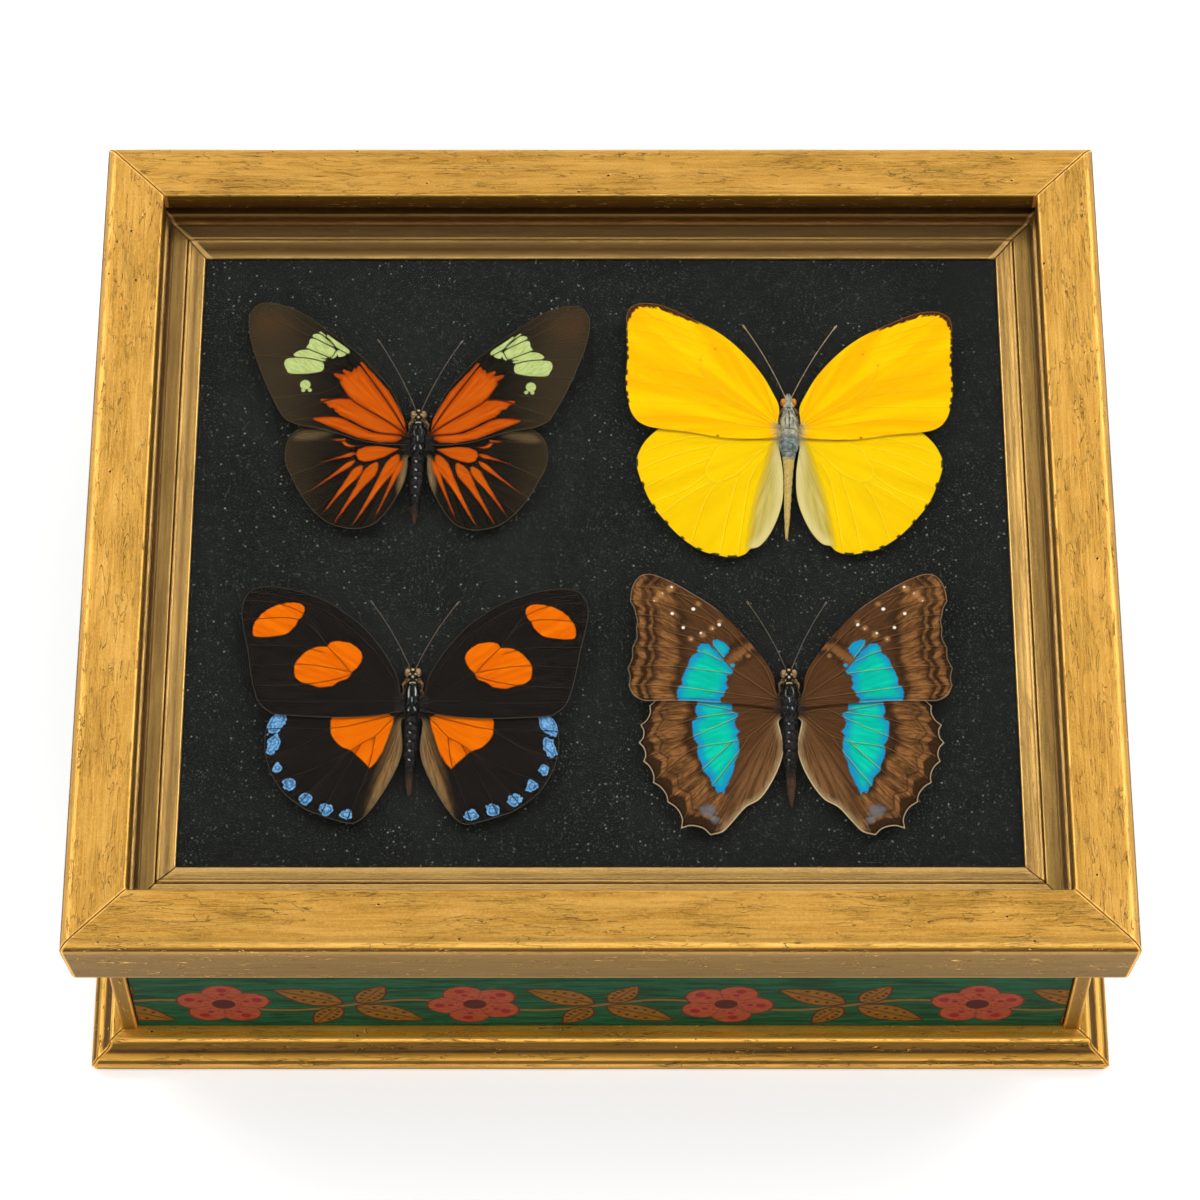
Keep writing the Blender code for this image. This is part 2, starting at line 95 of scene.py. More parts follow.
# Density of the new meshes
RAIL_STATIONS = 150
SECTION_STEP = 0.55
WING_CELL = 0.3
PANEL_CELL = 0.45
BODY_SIDES = 28
BODY_STEP = 0.28

# A distance beyond every line, the darkest tone of a moulding, and the tone below which it is out of sight
FAR = 99.0
DARKEST_TONE = -0.84
HIDDEN_TONE = -0.845

# The butterflies, heights over the backing board
FOREWING_HEIGHT = 3.15
HINDWING_HEIGHT = 2.35
WING_LIFT = 0.6
WING_REACH = 40.0
BODY_AXIS = 2.2
WAIST = -2.2
ABDOMEN_RING = 2.15
VEIN_SPAN = 2.6
HAIR_WIDTH = 0.045
FEELER_WIDTH = 0.09
FEELER_JOINTS = 60

# The stage, in metres and degrees
FLOOR_REACH = 3.0
FLOOR_DROP = 0.0002
LAMP_SPOTS = {"key": (-0.75, 0.6, 0.95), "fill": (0.75, 0.57, 0.95), "front": (0.1, -1.1, 0.7)}
LAMP_AIM = Vector((0.0, 0.0, 0.05))
CAMERA_SPOT = (-0.0001, -0.4711, 0.9304)
CAMERA_TILT = 27.775
CAMERA_LENS = 132.0
CAMERA_SENSOR = 36.0


# Shader maths


class Wire:
    """A node's output. Arithmetic on it adds Math nodes."""

    def __init__(self, nodes, socket):
        self.nodes = nodes
        self.socket = socket

    def maths(self, operation, *values):
        """A Math node fed with values or wires."""
        return self.nodes.node("ShaderNodeMath", {"operation": operation}, dict(enumerate(values)))

    def __add__(self, other):
        return self.maths("ADD", self, other)

    def __sub__(self, other):
        return self.maths("SUBTRACT", self, other)

    def __rsub__(self, other):
        return self.maths("SUBTRACT", other, self)

    def __mul__(self, other):
        return self.maths("MULTIPLY", self, other)

    def __abs__(self):
        return self.maths("ABSOLUTE", self)

    __radd__ = __add__
    __rmul__ = __mul__


class Nodes:
    """A node tree being made."""

    def __init__(self, owner):
        owner.use_nodes = True
        self.tree = owner.node_tree

    def node(self, kind, settings=None, sockets=None, output=0):
        """Add a node: its settings first, then the values or links of its sockets."""
        made = self.tree.nodes.new(kind)
        for name, value in (settings or {}).items():
            setattr(made, name, value)
        for key, value in (sockets or {}).items():
            if isinstance(value, Wire):
                self.tree.links.new(value.socket, made.inputs[key])
            else:
                made.inputs[key].default_value = value
        return Wire(self, made.outputs[output])

    def part(self, vector, axis):
        """One component of a vector."""
        return self.node("ShaderNodeSeparateXYZ", None, {0: vector}, axis)

    def ramp(self, value, low, high, start=0.0, end=1.0):
        """A smooth step from start at low to end at high."""
        sockets = {"Value": value, "From Min": low, "From Max": high, "To Min": start, "To Max": end}
        return self.node("ShaderNodeMapRange", {"interpolation_type": "SMOOTHSTEP"}, sockets)

    def mix(self, factor, first, second):
        """Two colours mixed."""
        colours = {0: factor}
        for key, value in ((6, first), (7, second)):
            colours[key] = value if isinstance(value, Wire) else (*value, 1.0)
        return self.node("ShaderNodeMix", {"data_type": "RGBA"}, colours, 2)


class Finish(Nodes):
    """A material being made, round its Principled shader."""

    def __init__(self, name, **uniform):
        self.material = bpy.data.materials.new(name)
        super().__init__(self.material)
        self.shader = self.tree.nodes["Principled BSDF"]
        for socket, value in uniform.items():
            self.feed(socket, value)

    def feed(self, socket, value):
        """Set a socket of the shader, named with underscores, to a value or a wire."""
        target = self.shader.inputs[socket.replace("_", " ")]
        if isinstance(value, Wire):
            self.tree.links.new(value.socket, target)
        else:
            target.default_value = (*value, 1.0) if isinstance(value, tuple) and len(value) == 3 else value

    def place(self):
        """Object coordinates in millimetres."""
        here = self.node("ShaderNodeTexCoord", output="Object")
        return self.stretch(here, (1000.0, 1000.0, 1000.0))

    def field(self, name):
        """A number kept at the mesh's points."""
        return self.node("ShaderNodeAttribute", {"attribute_name": name}, output="Fac")

    def vector_field(self, name):
        """A vector kept at the mesh's points."""
        return self.node("ShaderNodeAttribute", {"attribute_name": name}, output="Vector")

    def stretch(self, vector, factors):
        """A vector multiplied axis by axis."""
        return self.node("ShaderNodeVectorMath", {"operation": "MULTIPLY"}, {0: vector, 1: factors})

    def cloud(self, vector, scale=1.0, detail=3.0, roughness=0.55, distortion=0.0):
        """Fractal noise around 0.5."""
        sockets = {"Scale": scale, "Detail": detail, "Roughness": roughness, "Distortion": distortion}
        return self.node("ShaderNodeTexNoise", None, {"Vector": vector, **sockets}, "Fac")

    def cells(self, vector, scale=1.0, output="Distance"):
        """Cell pattern: distance to the nearest cell's centre, or a colour for each cell."""
        return self.node("ShaderNodeTexVoronoi", None, {"Vector": vector, "Scale": scale}, output)

    def relief(self, height, depth):
        """Bump from a height field whose full swing is depth millimetres."""
        normal = self.node("ShaderNodeBump", None, {"Height": height, "Distance": depth * MM, "Strength": 1.0})
        self.feed("Normal", normal)


def linear(red, green, blue):
    """A display colour, 0 to 255, as the linear numbers that shaders take."""
    shares = (channel / 255 for channel in (red, green, blue))
    return tuple(s / 12.92 if s <= 0.04045 else ((s + 0.055) / 1.055) ** 2.4 for s in shares)


# Mesh helpers


def smooth_line(knots, step, closed=False):
    """Points about a step apart along the smooth curve through the knots."""
    knots = [Vector(knot) for knot in knots]
    if closed:
        ring = [knots[-1], *knots, knots[0], knots[1]]
    else:
        ring = [2 * knots[0] - knots[1], *knots, 2 * knots[-1] - knots[-2]]
    points = []
    for a, b, c, d in zip(ring, ring[1:], ring[2:], ring[3:]):
        pieces = max(1, round((c - b).length / step))
        for number in range(pieces):
            t = number / pieces
            bend = (2 * a - 5 * b + 4 * c - d) * t**2 + (3 * b - a - 3 * c + d) * t**3
            points.append(0.5 * (2 * b + (c - a) * t + bend))
    return points if closed else [*points, knots[-1]]


def margin_line(strokes, step):
    """A closed margin made of smooth strokes that meet at corners."""
    points = [point for stroke in strokes for point in smooth_line(stroke, step)[:-1]]
    return [*points, Vector(strokes[-1][-1])]


def scallops(teeth, depth):
    """Strokes that hollow the margin between one tooth and the next."""
    strokes = []
    for start, end in zip(teeth, teeth[1:]):
        along = Vector(end) - Vector(start)
        inward = Vector((along.y, -along.x)).normalized()
        early = Vector(start) + along * 0.3 + inward * depth * 0.85
        late = Vector(start) + along * 0.7 + inward * depth * 0.85
        strokes.append([start, tuple(early), tuple(late), end])
    return strokes


def to_mesh(bm, name):
    """Turn a bmesh into a mesh whose faces point out, still in millimetres."""
    bmesh.ops.recalc_face_normals(bm, faces=bm.faces)
    mesh = bpy.data.meshes.new(name)
    bm.to_mesh(mesh)
    bm.free()
    return mesh


def spots_of(mesh):
    """A mesh's points as rows of numbers."""
    flat = np.empty(len(mesh.vertices) * 3, np.float32)
    mesh.vertices.foreach_get("co", flat)
    return flat.reshape(-1, 3).astype(float)


def move_spots(mesh, spots):
    """Put a mesh's points in new places."""
    mesh.vertices.foreach_set("co", spots.astype(np.float32).ravel())
    mesh.update()


def keep_field(mesh, name, values):
    """Keep a number or a vector at each point, for the material to read."""
    single = values.ndim == 1
    made = mesh.attributes.new(name, "FLOAT" if single else "FLOAT_VECTOR", "POINT")
    made.data.foreach_set("value" if single else "vector", values.astype(np.float32).ravel())


def show(name, mesh, finish, slot, nodes, smooth_angle=40.0):
    """Put a finished mesh in the scene as a piece of the object, in place of the named nodes."""
    mesh.transform(Matrix.Diagonal((MM, MM, MM, 1.0)))
    mesh.shade_smooth()
    mesh.set_sharp_from_angle(angle=math.radians(smooth_angle))
    mesh.materials.append(finish.material)
    piece = bpy.data.objects.new(name, mesh)
    bpy.context.scene.collection.objects.link(piece)
    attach(piece, "root")
    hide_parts(*nodes)


def coat(names, finish):
    """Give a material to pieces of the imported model."""
    for name in names:
        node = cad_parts[name]
        node.data.materials.clear()
        node.data.materials.append(finish.material)


def stretches(spots, line):
    """For each stretch of a line: its run, the flat spots' places from its start, and how far they lie from it."""
    points = np.array([tuple(point)[:2] for point in line], float)
    for start, end in zip(points, points[1:]):
        along = end - start
        away = spots - start
        share = np.clip((away @ along) / max(along @ along, 1e-9), 0.0, 1.0)
        yield along, away, np.linalg.norm(away - share[:, None] * along, axis=1)


def line_distance(spots, line):
    """How far each flat spot lies from a line of points."""
    best = np.full(len(spots), FAR)
    for _, _, distance in stretches(spots, line):
        best = np.minimum(best, distance)
    return best


def veins_distance(spots, lines):
    """How far each flat spot lies from the nearest of several lines, plain and signed by the side it lies on."""
    best = np.full(len(spots), FAR)
    signed = best.copy()
    for line in lines:
        for along, away, distance in stretches(spots, smooth_line(line, 1.2)):
            side = np.where(along[0] * away[:, 1] > along[1] * away[:, 0], 1.0, -1.0)
            signed = np.where(distance < best, side * distance, signed)
            best = np.minimum(best, distance)
    return best, signed


def is_inside(spots, outline):
    """Whether each flat spot lies inside a closed outline."""
    corners = np.array([tuple(point)[:2] for point in outline], float)
    odd = np.zeros(len(spots), bool)
    for start, end in zip(corners, np.roll(corners, -1, axis=0)):
        spans = (start[1] > spots[:, 1]) != (end[1] > spots[:, 1])
        rise = end[1] - start[1] if abs(end[1] - start[1]) > 1e-9 else 1e-9
        crossing = start[0] + (end[0] - start[0]) * (spots[:, 1] - start[1]) / rise
        odd ^= spans & (spots[:, 0] < crossing)
    return odd


def patch_distance(spots, patches, rounded):
    """Signed distance to the edge of the nearest patch, negative inside one."""
    best = np.full(len(spots), FAR)
    for patch in patches:
        outline = smooth_line(patch, 0.5, closed=True) if rounded else [Vector(p) for p in patch]
        away = line_distance(spots, [*outline, outline[0]])
        best = np.minimum(best, np.where(is_inside(spots, outline), -away, away))
    return best


def dot_distance(spots, dots):
    """Signed distance to the nearest of several round dots (x, y, radius)."""
    best = np.full(len(spots), FAR)
    for x, y, radius in dots:
        best = np.minimum(best, np.linalg.norm(spots - np.array([x, y]), axis=1) - radius)
    return best


def slice_finely(bm, geom, axes, cell):
    """Cut faces into a fine grid along the given axes."""
    for axis in axes:
        places = [part.co[axis] for part in geom if isinstance(part, bmesh.types.BMVert)]
        low, high = min(places), max(places)
        normal = Vector([1.0 if number == axis else 0.0 for number in range(3)])
        cuts = max(1, round((high - low) / cell))
        for number in range(1, cuts):
            spot = normal * (low + (high - low) * number / cuts)
            done = bmesh.ops.bisect_plane(bm, geom=geom, dist=1e-4, plane_co=spot, plane_no=normal)
            geom = done["geom"]
    return geom


def tube(bm, rings, sides):
    """A closed tube through rings of (centre, direction, half width, half height)."""
    before = None
    for number, (centre, direction, half_width, half_height) in enumerate(rings):
        turn = Vector(direction).to_track_quat("Z", "Y").to_matrix().to_4x4()
        made = bmesh.ops.create_circle(
            bm,
            cap_ends=number in (0, len(rings) - 1),
            segments=sides,
            radius=1.0,
            matrix=Matrix.Translation(centre) @ turn @ Matrix.Diagonal((half_width, half_height, 1.0, 1.0)),
        )
        loop = list({edge for vert in made["verts"] for edge in vert.link_edges})
        if before:
            bmesh.ops.bridge_loops(bm, edges=before + loop)
        before = loop


# Mouldings


def lid_profile():
    """Lid rail section as (inset, height, tone); tone runs from -1, dark, to 1, bright, and paints light and shade on
    the rails: painted shade on the upright faces and painted highlights on the round-over and the sight edge.
    """
    points = [
        (SKIRT, LIP_BOTTOM, -1.0),
        (SKIRT, LID_FOOT, -1.0),
        (LID_TAPER + 0.5, LID_FOOT, -0.75),
        (LID_TAPER + 0.1, LID_FOOT + 0.15, -0.3),
        (LID_TAPER, LID_FOOT + 0.6, -0.3),
        (LID_TAPER - 0.1, LID_FOOT + 1.6, -0.62),
        (0.5, 60.0, -0.52),
        (0.06, 66.2, -0.42),
    ]
    # The round-over: painted shade along its lower part and a painted highlight towards the top.
    for number in range(9):
        angle = math.radians(180 - 90 * number / 8)
        inset = EDGE_ROUND + EDGE_ROUND * math.cos(angle)
        height = CASE_HEIGHT - EDGE_ROUND + EDGE_ROUND * math.sin(angle)
        points.append((inset, height, (-0.2, -0.85, -0.8, -0.3, 0.15, 0.4, 0.5, 0.35, 0.15)[number]))
    points += [
        (3.4, CASE_HEIGHT, 0.0),
        (RAIL_WIDTH - 1.4, CASE_HEIGHT, 0.0),
        (RAIL_WIDTH - 0.75, CASE_HEIGHT - 0.02, 0.1),
        (RAIL_WIDTH - 0.3, CASE_HEIGHT - 0.12, 0.55),
        (RAIL_WIDTH - 0.06, CASE_HEIGHT - 0.4, 0.1),
        (RAIL_WIDTH, CASE_HEIGHT - 0.9, -0.6),
        (RAIL_WIDTH, LIP_BOTTOM + 1.0, -0.8),
        (RAIL_WIDTH, LIP_BOTTOM, -0.95),
    ]
    return points


def liner_profile():
    """Liner rail section: cove under the sight edge, flat band, bead and bevel."""
    foot = BOARD_TOP + JOINT_GAP
    quirk = RAIL_WIDTH + 0.5
    # These tones are painted light and shade: painted shade in the cove under the sight edge, painted highlights on the
    # beads and the bevel's inner edge, darker across the middle of the bevel.
    points = [
        (TRAY_INSET, foot, -1.0),
        (TRAY_INSET, LINER_TOP, -1.0),
        (quirk - 0.3, LINER_TOP, -0.6),
        (quirk, LINER_TOP - 0.1, 0.35),
    ]
    depth = LINER_TOP - 0.3 - LINER_BAND_HEIGHT
    for number in range(7):
        angle = math.radians(180 + 90 * number / 6)
        inset = quirk + 1.7 + 1.1 * math.cos(angle)
        points.append((inset, LINER_TOP - 0.3 + depth * math.sin(angle), -0.75 + 0.25 * number / 6))
    band = quirk + 1.7
    points += [
        (band + 0.25, LINER_BAND_HEIGHT + 0.05, 0.2),
        (band + 0.5, LINER_BAND_HEIGHT, -0.05),
        (band + LINER_BAND - 0.45, LINER_BAND_HEIGHT, -0.05),
        (band + LINER_BAND - 0.2, LINER_BAND_HEIGHT + 0.06, 0.85),
        (band + LINER_BAND, LINER_BAND_HEIGHT - 0.02, 0.1),
        (band + LINER_BAND + 0.2, LINER_BAND_HEIGHT - 0.4, -0.9),
        (band + LINER_BAND + 0.4, LINER_BAND_HEIGHT - 0.02, 0.1),
        (band + LINER_BAND + 0.65, LINER_BAND_HEIGHT + 0.08, 0.9),
        (band + LINER_BAND + 0.95, LINER_BAND_HEIGHT - 0.02, 0.2),
        (band + LINER_BAND + 1.15, LINER_BAND_HEIGHT - 0.25, -0.05),
        (band + LINER_BAND + 2.6, LINER_BAND_HEIGHT - 0.85, -0.35),
        (band + LINER_BAND + 3.4, LINER_BAND_HEIGHT - 1.1, 0.0),
        (band + LINER_BAND + 0.7 + LINER_BEVEL, foot + 0.66, 0.3),
        (band + LINER_BAND + 0.9 + LINER_BEVEL, foot + 0.6, 0.95),
        (band + LINER_BAND + 1.1 + LINER_BEVEL, foot + 0.4, 0.6),
        (band + LINER_BAND + 1.1 + LINER_BEVEL, foot, -0.4),
    ]
    return points


def plinth_profile():
    """Plinth rail section: foot fillet, torus, cove, thin line and flat top."""
    points = [(PLINTH_WIDTH, 0.0, -1.0), (0.65, 0.0, -0.6), (0.5, 0.15, -0.45), (0.5, 1.95, 0.0), (0.32, 2.2, -0.8)]
    # The torus: a painted highlight near its top and painted shade below that, over a slight hollow.
    for number in range(10):
        angle = math.radians(180 - 85 * number / 9)
        tone = (-0.2, 0.3, 0.2, -0.45, -0.8, -0.35, 0.45, 0.9, 0.5, -0.6)[number]
        hollow = (0.0, 0.0, 0.05, 0.22, 0.3, 0.12, 0.0, 0.0, 0.0, 0.0)[number]
        points.append((3.1 + (3.0 - hollow) * math.cos(angle), 2.4 + (1.8 - hollow) * math.sin(angle), tone))
    # The cove: painted shade, darkest at its foot, and above it a painted highlight on the thin line.
    for number in range(7):
        angle = math.radians(270 + 90 * number / 6)
        points.append((3.1 + 1.3 * math.cos(angle), 6.6 + 2.3 * math.sin(angle), -0.85 + 0.45 * number / 6))
    points += [
        (4.42, 7.15, 0.5),
        (4.75, 7.5, 1.0),
        (5.05, 7.6, 0.95),
        (5.35, 7.62, 0.2),
        (BODY_INSET, PLINTH_HEIGHT - 0.02, 0.25),
        (BODY_INSET + 0.6, PLINTH_HEIGHT, 0.1),
        (BODY_INSET + 1.6, PLINTH_HEIGHT, -0.8),
        (PLINTH_WIDTH, PLINTH_HEIGHT, -1.0),
    ]
    return points


def finer(profile):
    """The profile with points added along its longer shown stretches."""
    points = []
    for start, end in zip(profile, profile[1:] + profile[:1]):
        length = math.hypot(end[0] - start[0], end[1] - start[1])
        hidden = start[2] < HIDDEN_TONE and end[2] < HIDDEN_TONE
        pieces = 1 if hidden else max(1, round(length / SECTION_STEP))
        points += [tuple(s + (e - s) * i / pieces for s, e in zip(start, end)) for i in range(pieces)]
    return points


def undulation(spot, seed):
    """Small unevenness of a hand-finished rail at a place, in millimetres."""
    broad = noise.noise(Vector((spot.x * 0.035, spot.y * 0.035, seed)))
    dent = noise.noise(Vector((spot.x * 0.35 + 40, spot.y * 0.35 + spot.z * 0.3, seed + 9.1)))
    return 0.07 * broad - 0.16 * max(0.0, dent - 0.42)


def rail(name, length, section, ends, seat, turn, seed, shade):
    """One mitred rail: its section swept along X, cut to the mitres, then turned into place."""
    bm = bmesh.new()
    painted_light_layer = bm.verts.layers.float.new("tone")
    mitre_layer = bm.verts.layers.float.new("mitre")
    grain_layer = bm.verts.layers.float_vector.new("grain")
    around = 0.0
    outline = []
    for number, ((inset, height, tone), (end_inset, _, _)) in enumerate(zip(section, ends)):
        if number:
            around += math.hypot(inset - section[number - 1][0], height - section[number - 1][1])
        vert = bm.verts.new((end_inset + MITRE_GAP - length / 2, inset, height))
        # The rail's offset of painted light and shade is added to each shown tone, kept above the darkest tone.
        vert[painted_light_layer] = min(1.0, max(DARKEST_TONE, tone + shade)) if tone > HIDDEN_TONE else tone
        vert[grain_layer] = (0.0, around, seed * 17.3)
        outline.append(vert)
    swept = bmesh.ops.extrude_face_region(bm, geom=[bm.faces.new(outline)])
    for part in swept["geom"]:
        if isinstance(part, bmesh.types.BMVert):
            part.co.x = -part.co.x
    long_edges = [e for e in bm.edges if abs(e.verts[0].co.x - e.verts[1].co.x) > length / 2]
    bmesh.ops.subdivide_edges(bm, edges=long_edges, cuts=RAIL_STATIONS, use_grid_fill=True)
    bmesh.ops.recalc_face_normals(bm, faces=bm.faces)
    bm.normal_update()
    for vert in bm.verts:
        spot = vert.co.copy()
        vert[mitre_layer] = max(0.0, length / 2 - MITRE_GAP - spot.y - abs(spot.x))
        vert[grain_layer] = (spot.x, vert[grain_layer].y, seed * 17.3)
        if vert[painted_light_layer] > HIDDEN_TONE and vert[mitre_layer] > 0.3:
            vert.co += vert.normal * undulation(spot, seed)
    mesh = to_mesh(bm, name)
    mesh.transform(Matrix.Rotation(math.radians(turn), 4, "Z") @ Matrix.Translation((0.0, -seat, 0.0)))
    return mesh


def rail_frame(prefix, node_prefix, section, side_section, finish, slot, seed, painted_light_offsets=(0.0, 0.0, 0.0, 0.0)):
    """Four rails round the case, each with its own offset of painted light and shade on the finish."""
    rails = (
        ("_front", LID_WIDTH, section, side_section, LID_DEPTH / 2, 0),
        ("_back", LID_WIDTH, section, side_section, LID_DEPTH / 2, 180),
        ("_left", LID_DEPTH, side_section, section, LID_WIDTH / 2, -90),
        ("_right", LID_DEPTH, side_section, section, LID_WIDTH / 2, 90),
    )
    for number, (side, length, own, other, seat, turn) in enumerate(rails):
        mesh = rail(prefix + side, length, own, other, seat, turn, seed + number, painted_light_offsets[number])
        show(mesh.name, mesh, finish, slot, [node_prefix + side], 55.0)


def gilt_colours(look):
    """The gilding's bright, plain and matt colours."""
    return tuple(look.gilt_bright), tuple(look.gilt_colour), tuple(look.gilt_matt)


def deeper(colour):
    """A more saturated shade of a gilt colour."""
    return colour[0], 0.93 * colour[1], 0.5 * colour[2]


def gilt_finish(name, look, bright, gold, matt, polish=0.0, depth=1.0, age=1.0, metallic=0.8):
    """Worn gold leaf over wood: fine brushing, raised cracks, pin holes and dirt in the hollows, with painted shade on
    the upright faces and in the hollows, and painted highlights on the round-overs, beside the cracks, on the pin holes
    and along the mitres.
    """
    groove = tuple(look.gilt_groove)
    wear = look.gilt_wear * age
    f = Finish(name, Metallic=metallic, Specular_IOR_Level=0.5)
    grain = f.vector_field("grain")
    tone = f.field("tone")
    mitre = f.field("mitre")
    brush = f.cloud(f.stretch(grain, (0.16, 4.6, 1.0)), 1.0, 4.0, 0.6)
    streaks = f.cloud(f.stretch(grain, (0.05, 1.3, 1.0)), 1.0, 4.0, 0.55, 0.3)
    patina = f.cloud(f.stretch(grain, (0.04, 0.13, 1.0)), 1.0, 4.0, 0.6, 0.6)
    grit = f.cloud(grain, 2.4, 3.0, 0.65)
    crack_noise = f.cloud(f.stretch(grain, (0.085, 0.62, 1.0)), 1.0, 3.0, 0.5, 0.9)
    crack_room = f.ramp(f.cloud(f.stretch(grain, (0.07, 0.22, 1.0)), 1.3, 2.0), 0.46, 0.56) * wear
    # Each crack is a dark furrow, dirt with painted shade, beside a raised ridge that carries a painted highlight.
    furrow = (1.0 - f.ramp(abs(crack_noise - 0.5), 0.001, 0.007)) * crack_room
    lit_crest = (1.0 - f.ramp(abs(crack_noise - 0.518), 0.001, 0.009)) * crack_room
    hair_noise = f.cloud(f.stretch(grain, (0.11, 2.3, 1.0)), 1.0, 2.0, 0.5, 0.5)
    hairline = (1.0 - f.ramp(abs(hair_noise - 0.47), 0.0, 0.014)) * f.ramp(patina, 0.44, 0.56)
    pit_grain = f.stretch(grain, (0.17, 0.24, 1.0))
    pit_place = f.node("ShaderNodeVectorMath", {"operation": "ADD"}, {0: pit_grain, 1: (0.035, 0.05, 0.0)})
    pit_room = f.ramp(f.part(f.cells(pit_grain, output="Color"), 0), 0.5, 0.54) * wear
    pit = (1.0 - f.ramp(f.cells(pit_grain), 0.035, 0.07)) * pit_room
    glint = (1.0 - f.ramp(f.cells(pit_place), 0.045, 0.08)) * pit_room
    colour = f.mix(f.ramp(streaks, 0.3, 0.7), gold, bright)
    light = tuple(min(1.0, 1.3 * c + 0.035) for c in bright)
    colour = f.mix(f.ramp(patina, 0.48, 0.72) * 0.32, colour, matt)
    colour = f.mix(f.ramp(patina, 0.46, 0.3) * 0.3, colour, light)
    colour = f.mix(f.ramp(brush, 0.52, 0.78) * 0.3, colour, matt)
    colour = f.mix(f.ramp(grit, 0.5, 0.75) * 0.4, colour, light)
    colour = f.mix(f.ramp(grit, 0.5, 0.3) * 0.22, colour, matt)
    colour = f.mix(hairline * 0.5, colour, matt)
    # Painted shade: where the tone is low, on upright faces and in hollows, the gilding takes the darker matt colour
    # and, deepest, the groove colour, which is also dirt there; it is rougher there too.
    shade_and_dirt = tone * -1.0
    upright = f.mix(f.ramp(streaks, 0.3, 0.7), matt, tuple(0.8 * c for c in matt))
    colour = f.mix(f.ramp(shade_and_dirt, 0.02, 0.5), colour, upright)
    colour = f.mix(f.ramp(shade_and_dirt, 0.5, 0.95), colour, groove)
    # Painted highlight: where the tone is high, on round-overs, beads and sight edges, the gilding takes the light
    # colour and is a little glossier.
    shine = f.ramp(tone, 0.1, 1.0)
    colour = f.mix(shine * (0.7 + 0.6 * brush), colour, light)
    # Painted shade in the crack furrows, painted highlights on the ridges beside them and on the pin holes, then the
    # dark pin holes.
    colour = f.mix(furrow * 0.75, colour, groove)
    colour = f.mix(lit_crest * 0.9, colour, light)
    colour = f.mix(glint * 0.8, colour, light)
    colour = f.mix(pit * 0.95, colour, tuple(0.3 * c for c in groove))
    # A painted highlight along each mitre.
    mitre_highlight = 1.0 - f.ramp(mitre, 0.25, 0.7)
    colour = f.mix(mitre_highlight * 0.9, colour, light)
    f.feed("Base Color", colour)
    f.feed("Roughness", look.gilt_roughness - polish + 0.2 * brush + 0.12 * f.ramp(shade_and_dirt, 0.0, 0.5) - 0.08 * shine)
    height = 0.22 * brush + 0.3 * streaks + 0.12 * grit - 0.5 * hairline - 1.2 * furrow + 0.9 * lit_crest - 1.6 * pit
    f.relief(height, look.gilt_relief / MM * depth)
    return f


def board_finish(colour):
    """Near-black card with pale lint and dust."""
    f = Finish("black_card", Specular_IOR_Level=0.06)
    here = f.place()
    fibre = f.cloud(f.stretch(here, (1.6, 2.4, 1.0)), 1.0, 5.0, 0.7)
    broad = f.cloud(here, 0.035, 3.0)
    speck_room = f.ramp(f.cloud(here, 0.05, 3.0), 0.35, 0.65)
    speck_pick = f.part(f.cells(here, 0.8, output="Color"), 0)
    specks = (1.0 - f.ramp(f.cells(here, 0.8), 0.09, 0.25)) * f.ramp(speck_pick, 0.66, 0.9) * (0.3 + 0.7 * speck_room)
    grain_pick = f.part(f.cells(here, 1.9, output="Color"), 1)
    specks = specks + (1.0 - f.ramp(f.cells(here, 1.9), 0.14, 0.42)) * f.ramp(grain_pick, 0.62, 0.95) * 0.34
    lint_noise = f.cloud(here, 0.9, 2.0, 0.5, 2.6)
    lint = (1.0 - f.ramp(abs(lint_noise - 0.5), 0.0, 0.006)) * f.ramp(f.cloud(here, 0.22, 2.0), 0.56, 0.68)
    tone = f.mix(f.ramp(broad, 0.3, 0.72), colour, tuple(1.35 * c for c in colour))
    tone = f.mix(f.ramp(fibre, 0.5, 0.85) * 0.4, tone, tuple(3.0 * c for c in colour))
    tone = f.mix(lint * 0.35, tone, linear(112, 112, 105))
    tone = f.mix(specks * 0.75, tone, linear(146, 150, 134))
    f.feed("Base Color", tone)
    f.feed("Roughness", 0.85 + 0.1 * fibre)
    f.relief(fibre + 0.6 * specks, 0.05)
    return f


def bare_wood_finish():
    """Planed softwood, seen only from below."""
    f = Finish("bare_wood", Specular_IOR_Level=0.3)
    here = f.place()
    rings = f.cloud(f.stretch(here, (0.012, 0.16, 0.16)), 1.0, 4.0, 0.55, 1.2)
    fibres = f.cloud(f.stretch(here, (0.06, 2.2, 2.2)), 1.0, 4.0, 0.6)
    tone = f.mix(f.ramp(rings, 0.3, 0.7), linear(176, 138, 92), linear(203, 168, 120))
    f.feed("Base Color", f.mix(f.ramp(fibres, 0.5, 0.8) * 0.5, tone, linear(120, 84, 50)))
    f.feed("Roughness", 0.6 + 0.25 * fibres)
    f.relief(fibres, 0.12)
    return f


def clear_glass_finish(roughness):
    """Thin clear pane that lets light through to the specimens."""
    f = Finish("clear_pane", Roughness=roughness, IOR=1.08, Transmission_Weight=1.0)
    f.feed("Base Color", (0.985, 0.99, 0.985))
    clear = f.node("ShaderNodeBsdfTransparent", None, {"Color": (0.98, 0.985, 0.98, 1.0)})
    shadow_ray = f.node("ShaderNodeLightPath", output="Is Shadow Ray")
    shader = Wire(f, f.shader.outputs[0])
    both = f.node("ShaderNodeMixShader", None, {0: shadow_ray, 1: shader, 2: clear})
    f.tree.links.new(both.socket, f.tree.nodes["Material Output"].inputs["Surface"])
    return f


